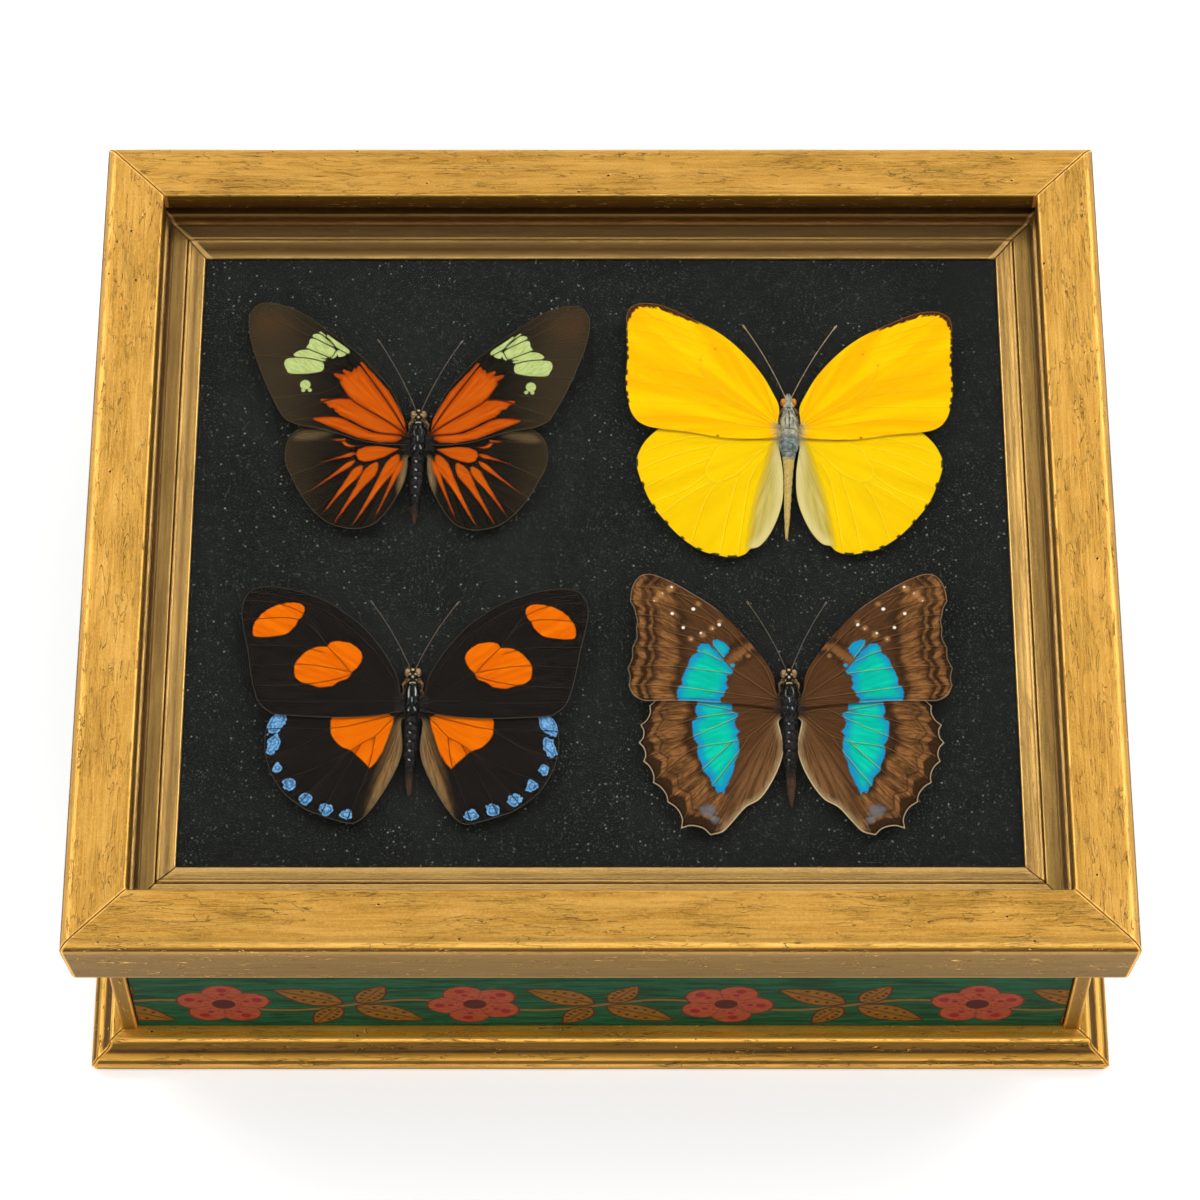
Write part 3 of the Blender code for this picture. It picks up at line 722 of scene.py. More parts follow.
def paint_finish(name, look, with_motifs, along=(1.0, 5.5)):
    """Brushed oil paint under satin varnish; on the front it carries blossoms and a leafy stem."""
    f = Finish(name, Specular_IOR_Level=0.06)
    here = f.place()
    green = tuple(look.paint_colour)
    strokes = f.cloud(f.stretch(here, (0.09 * along[0], 0.09 * along[1], 0.95)), 1.0, 6.0, 0.62, 0.5)
    dabs = f.cloud(f.stretch(here, (0.05 * along[0], 0.05 * along[1], 0.12)), 1.0, 4.0, 0.6, 0.8)
    worn = f.cloud(f.stretch(here, (0.6, 1.4, 1.8)), 1.0, 5.0, 0.7)
    tone = f.mix(f.ramp(strokes, 0.34, 0.68), tuple(0.5 * c for c in green), tuple(1.5 * c + 0.004 for c in green))
    tone = f.mix(f.ramp(dabs, 0.5, 0.75) * 0.6, tone, (green[0] * 0.9, green[1] * 1.45, green[2] * 1.75))
    if with_motifs:
        tone = painted_motifs(f, tone, worn, look)
    tone = f.mix(f.ramp(worn, 0.62, 0.75) * 0.35, tone, linear(26, 30, 22))
    scratch = f.cloud(f.stretch(here, (0.12, 2.0, 2.6)), 1.0, 3.0, 0.6, 0.7)
    scratches = (1.0 - f.ramp(abs(scratch - 0.52), 0.0, 0.006)) * f.ramp(dabs, 0.5, 0.6)
    tone = f.mix(scratches * 0.2, tone, linear(120, 118, 70))
    f.feed("Base Color", tone)
    f.feed("Roughness", 0.34 + 0.3 * worn)
    f.relief(strokes + 0.5 * worn, 0.1)
    return f


def painted_motifs(f, ground, worn, look):
    """Colours of the leafy stem and the blossoms over the painted ground."""
    stem = f.field("stem") + (worn - 0.5) * 0.5
    leaf = f.field("leaf") + (worn - 0.5) * 0.5
    midrib = f.field("midrib")
    leaf_dots = f.field("leaf_dots") + (worn - 0.5) * 0.2
    petal = f.field("petal") + (worn - 0.5) * 0.6
    heart = f.field("heart") + (worn - 0.5) * 0.3
    petal_dots = f.field("petal_dots") + (worn - 0.5) * 0.3
    crease = f.field("crease")
    outline = linear(58, 34, 16)
    ochre = tuple(look.leaf_colour)
    coral = tuple(look.blossom_colour)
    tone = f.mix(1.0 - f.ramp(stem, 0.35, 0.6), ground, linear(120, 74, 26))
    leaf_tone = f.mix(f.ramp(worn, 0.35, 0.7), ochre, tuple(0.55 * c for c in ochre))
    leaf_tone = f.mix((1.0 - f.ramp(midrib, 0.12, 0.4)) * 0.8, leaf_tone, outline)
    leaf_tone = f.mix(1.0 - f.ramp(leaf_dots, 0.0, 0.2), leaf_tone, outline)
    leaf_tone = f.mix(f.ramp(leaf, -0.75, -0.3), leaf_tone, outline)
    tone = f.mix(1.0 - f.ramp(leaf, -0.05, 0.1), tone, leaf_tone)
    petal_tone = f.mix(f.ramp(worn, 0.35, 0.7), coral, tuple(0.62 * c for c in coral))
    petal_tone = f.mix((1.0 - f.ramp(crease, 0.1, 0.4)) * 0.55, petal_tone, linear(96, 30, 22))
    petal_tone = f.mix(1.0 - f.ramp(petal_dots, -0.1, 0.15), petal_tone, linear(122, 26, 30))
    petal_tone = f.mix(1.0 - f.ramp(heart, -0.15, 0.2), petal_tone, linear(66, 24, 20))
    petal_tone = f.mix(f.ramp(petal, -0.7, -0.3), petal_tone, linear(82, 34, 20))
    return f.mix(1.0 - f.ramp(petal, -0.05, 0.1), tone, petal_tone)


def leaf_shape(x, z, length, width, angle):
    """Outline and midrib of a pointed leaf growing from (x, z)."""
    along = Vector((math.cos(angle), math.sin(angle)))
    across = Vector((-along.y, along.x))
    root = Vector((x, z))
    shares = [number / 12 for number in range(13)]
    upper = [root + along * length * s + across * width * math.sin(math.pi * s**0.8) ** 0.9 / 2 for s in shares]
    lower = [root + along * length * s - across * width * math.sin(math.pi * s**0.8) ** 0.9 / 2 for s in shares]
    return upper + lower[-2:0:-1], [root + along * length * 0.05, root + along * length * 0.92]


def front_fields(mesh):
    """Distances that place the leafy stem and the blossoms on the front panel."""
    spots = spots_of(mesh)
    flat = spots[:, [0, 2]]
    stem = [(x, STEM_HEIGHT + STEM_SWING * math.sin(2 * math.pi * x / STEM_WAVE)) for x in range(-107, 109, 3)]
    leaves = []
    ribs = []
    dots = []
    for middle in (-112, -56, 0, 56, 112):
        for shift, lift, length, width, turn in (
            (-1.0, 0.6, 18.0, 8.6, 152),
            (1.0, -0.6, 18.0, 8.6, -28),
            (2.0, 0.8, 12.5, 6.6, 58),
            (-2.0, -0.8, 12.5, 6.6, 238),
        ):
            outline, rib = leaf_shape(middle + shift, STEM_HEIGHT + lift, length, width, math.radians(turn))
            leaves.append(outline)
            ribs.append(rib)
            across = Vector((-math.sin(math.radians(turn)), math.cos(math.radians(turn))))
            for share in (0.22, 0.37, 0.52, 0.67):
                offset = across * 0.26 * width * math.sin(math.pi * share)
                middle_spot = rib[0].lerp(rib[1], share)
                dots += [(*(middle_spot + offset), 0.42), (*(middle_spot - offset), 0.42)]
    petal = np.full(len(flat), FAR)
    heart = petal.copy()
    crease = petal.copy()
    petal_dots = []
    for number, x in enumerate((-84, -28, 28, 84)):
        away = flat - np.array([x, BLOSSOM_HEIGHT])
        reach = np.linalg.norm(away, axis=1)
        start = 0.31 + 0.42 * number
        angle = np.arctan2(away[:, 1], away[:, 0]) - start
        edge = 7.9 + 3.0 * np.abs(np.cos(2.5 * angle)) ** 0.8
        petal = np.minimum(petal, reach - edge)
        heart = np.minimum(heart, reach - HEART_RADIUS)
        furrow = reach * np.abs(np.cos(2.5 * angle)) / 2.5
        crease = np.minimum(crease, np.where((reach > HEART_RADIUS) & (reach < edge), furrow, FAR))
        for turn in range(5):
            a = start + 2 * math.pi * turn / 5
            for lean, out, radius in ((0.0, 7.9, 1.15), (0.0, 5.4, 0.7), (-0.3, 4.0, 0.36), (0.3, 4.0, 0.36)):
                place = (x + out * math.cos(a + lean), BLOSSOM_HEIGHT + out * math.sin(a + lean))
                petal_dots.append((*place, radius))
    keep_field(mesh, "stem", line_distance(flat, [Vector(p) for p in stem]))
    keep_field(mesh, "leaf", patch_distance(flat, leaves, False))
    keep_field(mesh, "midrib", np.minimum.reduce([line_distance(flat, rib) for rib in ribs]))
    keep_field(mesh, "leaf_dots", dot_distance(flat, dots))
    keep_field(mesh, "petal", petal)
    keep_field(mesh, "heart", heart)
    keep_field(mesh, "crease", crease)
    keep_field(mesh, "petal_dots", dot_distance(flat, petal_dots))


def front_panel(finish):
    """The painted front wall, with a fine grid on its face for the painting."""
    outer = BODY_INSET + PANEL_SETBACK
    inner = outer + WALL_THICKNESS
    notch = BODY_INSET + POST_WIDTH + JOINT_GAP
    plan = [(notch, outer), (notch, notch - MITRE_GAP), (inner + MITRE_GAP, inner)]
    near = [(x - LID_WIDTH / 2, y - LID_DEPTH / 2) for x, y in plan]
    bm = bmesh.new()
    foot = bm.faces.new([bm.verts.new((x, y, WALL_BOTTOM)) for x, y in near + [(-x, y) for x, y in reversed(near)]])
    raised = bmesh.ops.extrude_face_region(bm, geom=[foot])
    verts = [part for part in raised["geom"] if isinstance(part, bmesh.types.BMVert)]
    bmesh.ops.translate(bm, vec=(0, 0, WALL_TOP - WALL_BOTTOM), verts=verts)
    face = min(bm.faces, key=lambda one: (round(one.calc_center_median().y, 3), -one.calc_area()))
    slice_finely(bm, [face, *face.edges, *face.verts], (0, 2), PANEL_CELL)
    mesh = to_mesh(bm, "front_panel")
    front_fields(mesh)
    show("front_panel", mesh, finish, "green_paint", ["wall_front"])


def corner_post(name, x, y, finish, seed):
    """A small square post with rounded edges, lighter along them and darker on its flat faces."""
    bm = bmesh.new()
    bmesh.ops.create_cube(bm, size=1.0)
    bmesh.ops.scale(bm, vec=(POST_WIDTH, POST_WIDTH, WALL_TOP - WALL_BOTTOM), verts=bm.verts)
    upright = [edge for edge in bm.edges if abs(edge.verts[0].co.z - edge.verts[1].co.z) > 1]
    bmesh.ops.bevel(bm, geom=upright, offset=0.35, segments=3, profile=0.5, affect="EDGES", material=-1)
    slice_finely(bm, bm.verts[:] + bm.edges[:] + bm.faces[:], (0, 1, 2), 0.6)
    bmesh.ops.translate(bm, vec=(x, y, (WALL_BOTTOM + WALL_TOP) / 2), verts=bm.verts)
    mesh = to_mesh(bm, name)
    spots = spots_of(mesh)
    offset = np.abs(spots[:, :2] - np.array([x, y]))
    corner = POST_WIDTH / 2 - offset.min(axis=1)
    keep_field(mesh, "tone", np.clip(0.5 - 1.5 * corner, -0.45, 0.5))
    keep_field(mesh, "mitre", np.full(len(spots), 9.0))
    around = spots[:, 0] + spots[:, 1] + seed * 31.0
    keep_field(mesh, "grain", np.column_stack([spots[:, 2], around, np.full(len(spots), seed * 7.7)]))
    show(name, mesh, finish, "gilt", [name.replace("gilt_post", "corner_post")])


# The butterflies' shapes: strokes of (out from the midline, forward of the wing roots) for the left wings
RAYED = {
    "name": "rayed",
    "centre": (-41.5, 26.3),
    "forewing": [
        [(1.2, 1.9), (2.8, 3.6), (3.4, 6.9), (6, 14.1), (10.1, 19.6), (13.9, 23.9), (19.5, 29), (25.9, 34),
         (29.6, 36.1), (33.4, 37.4), (36.3, 37.6), (38.1, 36.8), (39.4, 34.6), (39.6, 31.6), (38.5, 25.6),
         (36.4, 19.2), (33.5, 12.4), (30.9, 7.4), (28.7, 5.7), (26.7, 4.9), (22.5, 4.2), (18.1, 3), (13, 1.3),
         (7.9, 0.2), (3, 0), (1.2, 0.3)],
    ],
    "hindwing": [
        [(1.2, 0.6), (8, 3), (16, 5), (23, 5.8), (26.7, 4.9), (29, 2.8), (30, 0.3), (30.2, -2.7),
         (29.6, -5.6), (28.3, -8.5), (26.7, -11.8), (24.5, -15.1), (21.9, -18), (18.9, -20.2), (14.9, -21.3),
         (12.1, -21.1), (9.6, -20), (7.5, -17.6), (5.4, -14.3), (3.7, -11), (2.8, -8.5), (2.3, -5.2), (2.3, -3),
         (1.2, -1.9)],
    ],
    "fore_veins": [
        [(2.6, 2.9), (3.5, 4.6), (5.5, 8.4), (8, 12.6), (11.2, 17.5), (13.6, 20.9), (16.2, 23.5), (19.3, 25.6),
         (20.6, 27.6), (23.6, 29.9), (30, 34.3)],
        [(3, 2.8), (5.6, 4.95), (9.2, 7.5), (12.8, 9.9), (15.6, 12.1), (18.6, 16.2), (20.4, 19.4), (21.9, 21.8)],
        [(21.9, 21.8), (20.2, 22.9), (19.2, 24.9)],
        [(19.8, 25.6), (24.8, 28.5), (30.5, 31.4), (37.5, 34.5)],
        [(20.3, 22.6), (25.2, 25), (31, 27.2), (38.8, 28.4)],
        [(21.8, 21.6), (25, 22.6), (29.4, 23), (38, 23.1)],
        [(20.4, 19.4), (24, 18.6), (30, 18.4), (36.2, 18)],
        [(18, 15.2), (22, 13.6), (28, 12.9), (33.6, 12.3)],
        [(15.3, 12.1), (19.5, 11.9), (26.5, 9.4), (31, 8)],
        [(3, 2.4), (8.6, 2.95), (12.1, 4.2), (15.4, 6), (18.6, 7.2), (24.5, 6.8), (29, 6)],
    ],
    "hind_veins": [
        [(3, -0.6), (8.8, 0.4), (13.4, -0.2), (14.4, -1.4), (14.1, -3.1), (12.4, -4.4), (8, -3.4), (3.2, -0.9)],
        [(13.6, -0.3), (20, 1.2), (27, 1.8)],
        [(14.4, -1.4), (20, -3.7), (28.6, -7.9)],
        [(14.1, -3.1), (19.5, -8.3), (26, -12.8)],
        [(12.4, -4.4), (16.5, -10.5), (23.2, -16.8)],
        [(9.8, -4.2), (14, -11.5), (17.5, -20.6)],
        [(3.2, -1.4), (7, -8), (12.2, -20.9)],
    ],
    "body": [(-19.3, 0.3, 0.3), (-17, 0.8, 0.8), (-13, 1.3, 1.2), (-8, 1.6, 1.4), (-4, 1.6, 1.4),
             (-2, 1.5, 1.4), (0, 2.1, 1.9), (3, 2.2, 1.9), (5.5, 1.6, 1.7), (6.8, 0.9, 1.1), (8, 1.3, 1.2),
             (9.2, 0.9, 0.9), (9.9, 0.3, 0.3)],
    "head": 8.3,
    "tail_shift": -0.55,
    "feelers": ((-9.8, 27.9), (9.9, 27.7)),
    "right_fore": (0.965, 1, -1.5),
    "right_hind": (0.98, 1, -1.5),
    "dark": True,
}

YELLOW = {
    "name": "yellow",
    "centre": (43, 29.2),
    "forewing": [
        [(1.2, 1.6), (2.5, 2.4), (2.2, 6.9), (3.5, 10.6), (6.1, 16.1), (10.4, 21.8), (15.4, 26.6), (21.1, 30.4),
         (27.6, 33.7), (32.3, 34.6), (35.4, 33.9), (36.8, 31.9), (37.1, 26.8), (36.8, 19.8), (37.2, 13.9), (36.6, 7.9),
         (35.3, 4.3), (33.3, 2.5), (30, 1.5), (22, 0.4), (14.5, -0.8), (5.5, -1.2), (1.2, -0.4)],
    ],
    "hindwing": [
        [(1.2, 0.3), (10, 3.2), (20, 4.2), (26, 3.8), (30, 1.5), (32.9, -1.6), (34.5, -5.2), (34.8, -7.9),
         (33.8, -11.9), (31.9, -16.9), (29.2, -21.3), (25, -26.2), (21.1, -29.3), (17.3, -30.8), (13.4, -31.4),
         (10.7, -30.6), (9.3, -29.1)],
        [(9.3, -29.1), (7.2, -28.4), (4.8, -25.3), (2.8, -20.5), (1.7, -15.6), (1.6, -9.8), (2.1, -5.3), (2.3, -2.8),
         (1.2, -1.8)],
    ],
    "fore_veins": [
        [(2.8, 2.2), (4, 7.6), (5.6, 12.6), (9.6, 18.2), (14, 21.9), (19, 23.9), (27, 28), (33.5, 33)],
        [(3.2, 1.8), (8.5, 6), (14.3, 9.9), (18.4, 14.3), (20, 19.3), (16.8, 22)],
        [(20, 19.3), (27, 22.3), (36.8, 24)],
        [(18.4, 14.3), (27, 16.6), (36.9, 18)],
        [(14.3, 9.9), (22, 11.6), (30, 13), (37.1, 13.8)],
        [(3.3, 1.4), (10, 2.2), (20, 4.2), (35.6, 4.2)],
        [(10.5, 7.4), (18, 7.6), (30, 8), (36.6, 8.2)],
        [(19.3, 22.6), (27, 25.5), (36.8, 27.5)],
        [(22, 27.2), (29, 30.3), (36.2, 31)],
    ],
    "hind_veins": [
        [(3.3, -1.2), (7.5, -5.3), (11.4, -9.9), (16.6, -12.4), (19, -10.6), (19.2, -8.5), (17.8, -6), (16.8, -3.5),
         (13.5, -1.2)],
        [(16.6, -12.4), (19.5, -18), (22.5, -28)],
        [(17.6, -12), (23, -15.5), (29.5, -21)],
        [(19, -10.6), (24, -14.4), (31.5, -17.8)],
        [(17.8, -6), (23.2, -8.5), (33, -14)],
        [(18.4, -3), (25, -5), (34.6, -9.5)],
        [(14, -1), (21.6, -0.6), (30.6, -3.4), (34.5, -5.6)],
        [(11.4, -9.8), (14.2, -21), (16, -30.8)],
        [(6.9, -7.3), (9.4, -13.4), (12, -30.6)],
    ],
    "body": [(-26, 0.25, 0.25), (-23, 0.5, 0.5), (-18, 0.75, 0.75), (-12, 0.95, 0.9), (-8, 1.2, 1.1),
             (-5, 1.6, 1.4), (-2.5, 2.3, 1.8), (1, 2.2, 1.9), (4.5, 1.8, 1.8), (6.8, 1.1, 1.2), (8, 1.3, 1.2),
             (9.5, 0.9, 0.9), (10.3, 0.3, 0.3)],
    "head": 8.7,
    "tail_shift": -1.05,
    "feelers": ((-10.2, 28.9), (11.5, 28.7)),
    "right_fore": (1, 0.965, -2),
    "right_hind": (1, 0.97, -1),
    "dark": False,
}

SPOTTED = {
    "name": "spotted",
    "centre": (-41.5, -40),
    "forewing": [
        [(1.2, 1.7), (2.6, 3), (3.4, 7.1), (6.1, 12.8), (10.1, 18.5), (14.6, 22.6), (19.8, 26.3), (25.6, 28.7),
         (31.1, 29.7), (35.5, 29.2), (37.6, 27.1), (38.4, 23.4), (37.9, 19.3), (36.8, 14.1), (36, 8.8), (35, 4),
         (33.8, 0.8), (31.9, -1), (29.7, -2), (21.1, -2.5), (8.6, -2.3), (3, -1.2), (1.2, -0.4)],
    ],
    "hindwing": [
        [(1.2, 0.4), (10, 1.6), (20, 1.8), (27, 0.6), (30.6, -2), (31.8, -4.4), (32.2, -7.2), (32.1, -10.8),
         (31.1, -14.7), (29.2, -18.7), (26.6, -21.8), (23, -24.6), (19.7, -26.1), (16.2, -27.3), (13.3, -28.1),
         (11.2, -27.5), (8.8, -25), (6.4, -21.1), (4.4, -17.2), (2.7, -13.2), (2, -9.7), (2.3, -5.7), (2.4, -3.2),
         (1.2, -2)],
    ],
    "fore_veins": [
        [(2.6, 2.2), (4.2, 6.5), (8.6, 13.6), (14.5, 19.6), (21, 24), (28.5, 26.9), (36, 28)],
        [(3, 1.4), (8.5, 4.8), (13.9, 8.5)],
        [(13.9, 8.6), (16.5, 11.8), (19, 14.6), (22, 18.6), (24.6, 20.9), (29, 21.8), (37.9, 20.9)],
        [(13.9, 8.4), (20, 9.6), (26.1, 10.2), (36.3, 9.7)],
        [(20, 13.2), (26, 14.7), (37, 14.9)],
        [(13, 7.9), (18, 6.2), (25, 5), (35.3, 4.8)],
        [(3, 1), (12, 1.2), (22, 0.9), (34.2, 1.3)],
        [(19, 14.6), (24, 22.2), (30, 25.2), (37.6, 26)],
    ],
    "hind_veins": [
        [(3, -1.6), (5.5, -4.2), (8, -7.1), (13, -10.5), (21, -19.5), (24.5, -23.6)],
        [(8, -7.1), (9.3, -14.5), (13.8, -28)],
        [(3, -1.6), (9, -3.2), (17.5, -5), (31.8, -5.4)],
        [(17.5, -5), (24, -9.5), (31.9, -12.5)],
        [(13, -10.5), (20, -14.5), (29.5, -18.2)],
        [(11, -9), (15.5, -17.5), (19.5, -26.1)],
    ],
    "body": [(-20.9, 0.3, 0.3), (-18, 0.85, 0.8), (-14, 1.25, 1.2), (-9, 1.65, 1.5), (-5, 1.7, 1.5),
             (-2.2, 1.5, 1.4), (0, 2, 1.9), (3, 1.8, 1.9), (5.5, 1.4, 1.6), (6.8, 0.9, 1.1), (8.2, 1.3, 1.2),
             (9.4, 0.9, 0.9), (10.3, 0.3, 0.3)],
    "head": 8.7,
    "tail_shift": -0.4,
    "feelers": ((-9.8, 26.2), (10, 26)),
    "right_fore": (1, 1, -1),
    "right_hind": (1.01, 1, -1),
    "dark": True,
}

BANDED = {
    "name": "banded",
    "centre": (41.7, -40.1),
    "forewing": [
        [(1.2, 1.7), (2.8, 3.2), (3.7, 8.1), (6.3, 12.9), (10.1, 18.1), (15.5, 23.9), (20.5, 27.8), (24.8, 30.7),
         (29.5, 32.8), (32.2, 32.8), (33.8, 31.4), (34.8, 28.8), (35.1, 26)],
        [(35.1, 26), (34.2, 24.2), (33.9, 22.5)],
        [(33.9, 22.5), (33.55, 21), (33.8, 19.3)],
        [(33.8, 19.3), (33.7, 17), (34.7, 14.4)],
        [(34.7, 14.4), (34.7, 12), (35.7, 9.3)],
        [(35.7, 9.3), (35.2, 7), (35.5, 5)],
        [(35.5, 5), (34.4, 2.8), (32.4, 1.6), (30.5, 1.4), (20.1, 1.4), (10.4, 0.7), (3, -0.3), (1.2, 0)],
    ],
    "hindwing": [
        [(1.2, 0.6), (10, 4), (20, 5), (27, 3.8), (30.9, 0.6)],
        *scallops([(30.9, 0.6), (32.9, -4.2), (33.3, -8.7), (32.3, -13.2), (30.2, -18.3), (27.1, -22.9)], 0.9),
        *scallops([(27.1, -22.9), (24.2, -29.2), (17.8, -30.7)], 1.4),
        [(17.8, -30.7), (15.1, -29.9), (12.8, -27.4), (10, -24), (6.9, -21.9), (4.2, -17.7), (2.2, -13),
         (1.5, -9.2), (2.2, -5.3), (2.5, -3.2), (1.2, -2)],
    ],
    "fore_veins": [
        [(3, 2.6), (5.6, 9.6), (9.5, 14.6), (15, 20.4), (20.5, 25), (27, 29.5)],
        [(3.2, 2), (8, 5.7), (12.3, 8.9), (14.6, 12.2), (17.2, 15.8), (18.8, 17.2)],
        [(13, 17.4), (18, 21.2), (25, 24.3), (30, 25.9), (35, 26.2)],
        [(16.5, 17.6), (22, 19.3), (28, 21.8), (33.8, 22.5)],
        [(18.6, 15.8), (23, 17.2), (28.5, 18.9), (33.8, 19.3)],
        [(14.6, 11), (19.5, 13.3), (27, 14.6), (34.7, 14.6)],
        [(12.8, 8), (21.5, 9.1), (28, 9.8), (35.6, 9.4)],
        [(3.2, 1.4), (8.5, 2.3), (13.5, 3.1), (22, 4.1), (28, 4.8), (35.4, 5)],
        [(20, 26.6), (27, 28.8), (34.6, 29.7)],
    ],
    "hind_veins": [
        [(3.2, -1.9), (8.3, -6.6), (12.5, -8.4), (20, -9.7), (24.2, -12.4), (28, -16.1), (30.2, -18.3)],
        [(8.3, -6.6), (11.3, -11), (17.2, -19), (20.3, -22.6), (22.9, -26.2), (24.2, -29.2)],
        [(12.5, -8.4), (19.2, -15), (21.6, -17.2), (25, -20.1), (27.1, -22.9)],
        [(3.2, -1.2), (8, -0.6), (12, -2.6), (21.2, -7.2), (26.1, -10.2), (30.6, -11.8), (32.3, -13.2)],
        [(12.3, -1.2), (20, -2.5), (26.5, -5), (30.8, -7), (33.3, -8.7)],
        [(12.3, -0.6), (20.5, 0.9), (25.3, 0.1), (29.9, -1.5), (32.9, -4.2)],
    ],
    "body": [(-23.4, 0.3, 0.3), (-20, 0.85, 0.8), (-15, 1.4, 1.3), (-10, 1.7, 1.5), (-5.5, 1.8, 1.6),
             (-3, 1.7, 1.5), (-0.5, 2.3, 1.9), (2.5, 2.2, 1.9), (5, 1.6, 1.7), (6.8, 0.9, 1.1), (8.2, 1.3, 1.2),
             (9.4, 0.9, 0.9), (10.3, 0.3, 0.3)],
    "head": 8.5,
    "tail_shift": 0,
    "feelers": ((-9.1, 26.1), (8.8, 26)),
    "outer": {
        "forewing": [(32, 36), (34.6, 31), (35.2, 26), (34, 19.5), (34.6, 12), (35.8, 6), (36, 0)],
        "hindwing": [(31, 4), (32.7, -2), (33, -8.5), (31.8, -13.5), (29.6, -18.6), (26.6, -23.2),
                     (23, -28.5), (17, -31.5)],
    },
    "right_fore": (1.015, 1, 0),
    "right_hind": (1.015, 1, 0),
    "dark": True,
}


def ray(start, tip, width):
    """A long tapering patch, widest a fifth of the way to its tip."""
    root = Vector(start)
    along = Vector(tip) - root
    across = Vector((-along.y, along.x)).normalized() * width / 2
    shares = ((0, 0.25), (0.07, 0.75), (0.16, 1), (0.28, 0.8), (0.44, 0.5), (0.62, 0.3), (0.82, 0.14))
    left = [root + along * s + across * w for s, w in shares]
    right = [root + along * s - across * w for s, w in reversed(shares)]
    return [*left, root + along, *right]


# Patches as (out, forward) outlines on the left wings; round dots as (out, forward, radius)
FAR_AWAY = [[(90, 90), (91, 90), (91, 91)]]
RAYED_ORANGE_FORE = [
    [(13.4, 21.5), (12.2, 20.1), (10.4, 18), (8.8, 16), (7.2, 14.2), (5, 9.7), (3.4, 6.2), (2.7, 3.3),
     (3.6, 3.8), (4.5, 5.4), (5.9, 9.4), (7.3, 12.1), (8.8, 14.6), (11.7, 18.6)],
    [(13.9, 20.3), (14.3, 19.2), (14.9, 19.6), (15.3, 18.4), (17.3, 19.4), (16.2, 17.9), (19.4, 18.3), (17.7, 17.2),
     (17.8, 16.1), (17.2, 15.2), (16.8, 14.2), (15.8, 12.4), (12, 9.7), (8.8, 7.5), (5.6, 5.3), (2.8, 3),
     (4, 4.8), (5.6, 8), (7.9, 11.9), (10.4, 15.6), (12.3, 18.2)],
    [(22.2, 11.6), (20.5, 11.5), (17.8, 12), (15.8, 11.8), (13.3, 9.8), (9.5, 7.1), (5.6, 4.6), (3.1, 2.5),
     (8.8, 3.3), (12, 4.6), (15.2, 6.6), (17.6, 7.7), (18.9, 9), (18.6, 9.6), (20.3, 10), (20.7, 10.7)],
    [(23.7, 6.6), (21.6, 7), (18.4, 6.8), (16.8, 6.3), (13.6, 4.3), (10.4, 2.8), (6.3, 2.3), (4, 1.7), (5.2, 1),
     (8.8, 1), (13.6, 2.3), (16.8, 3.7), (20, 5), (21.9, 5.8)],
]
RAYED_ORANGE_HIND = [
    [(14.1, -2), (13.6, -0.8), (11.7, 0), (8.8, 0), (4.3, -0.7), (5.6, -1.5), (7.9, -2.9), (10.1, -3.7),
     (12, -4), (13.4, -3.5)],
    ray((14.2, -1.7), (22.3, -4.3), 0.9),
    ray((14.3, -3.6), (24.3, -12), 1.3),
    ray((12.6, -5), (21.3, -17.4), 2.2),
    ray((9.2, -4.3), (18.9, -20.2), 2.8),
    ray((4.4, -2.2), (14.6, -20.9), 2.9),
    ray((3.3, -3.4), (10, -19.8), 1.3),
    [(20.5, 1.8), (18, 1.9), (16.5, 2.2), (16.6, 1.7), (18, 1.5)],
    [(17.4, 1.2), (16.6, 1.3), (15.4, 0.3), (13.4, 0.2), (15.5, -0.1), (16.6, 0.2)],
]
RAYED_GREEN = [
    [(21.4, 29.2), (19.7, 27.8), (16.8, 25.4), (16.2, 24.4), (16.8, 23.9), (19, 25.5), (21.1, 28.1)],
    [(23.4, 30), (22.9, 30), (21.7, 28.8), (22, 28.6)],
    [(24.6, 29.2), (23.2, 29.3), (21.6, 27.9), (19.8, 25.8), (22, 26.9), (24.5, 28.3)],
    [(24.8, 28.1), (20.3, 25.6), (19.4, 24.7), (19.1, 23.4), (19.9, 22.6), (20.5, 22.8), (24.8, 24.9), (26.1, 25.6),
     (25.6, 26.5)],
    [(18.9, 24.9), (17, 23.7), (18.6, 23.1)],
    [(29, 23.6), (28, 24.6), (26.2, 25), (24.8, 24.6), (21.2, 22.8), (23.4, 22.9), (21.4, 22.1), (21.9, 21.7),
     (24.8, 22.7), (28.6, 23.2)],
    [(31, 21), (30.6, 22.3), (29, 22.7), (26.1, 22.6), (23.2, 21.9), (22.2, 21.4), (22, 20.4), (22.4, 19.3),
     (24.8, 18.8), (27.4, 18.5), (29.9, 18.8), (30.4, 19.6)],
]
RAYED_TAN = [
    [(2.2, -2.8), (2.3, -5.4), (2.8, -8.9), (4.1, -12.2), (4.3, -9.2), (3.7, -5.6), (3.1, -3)],
    [(28.2, 1.8), (26.6, 3.6), (22, 4.2), (19, 3.6), (21, 2.6), (25, 1.4)],
]
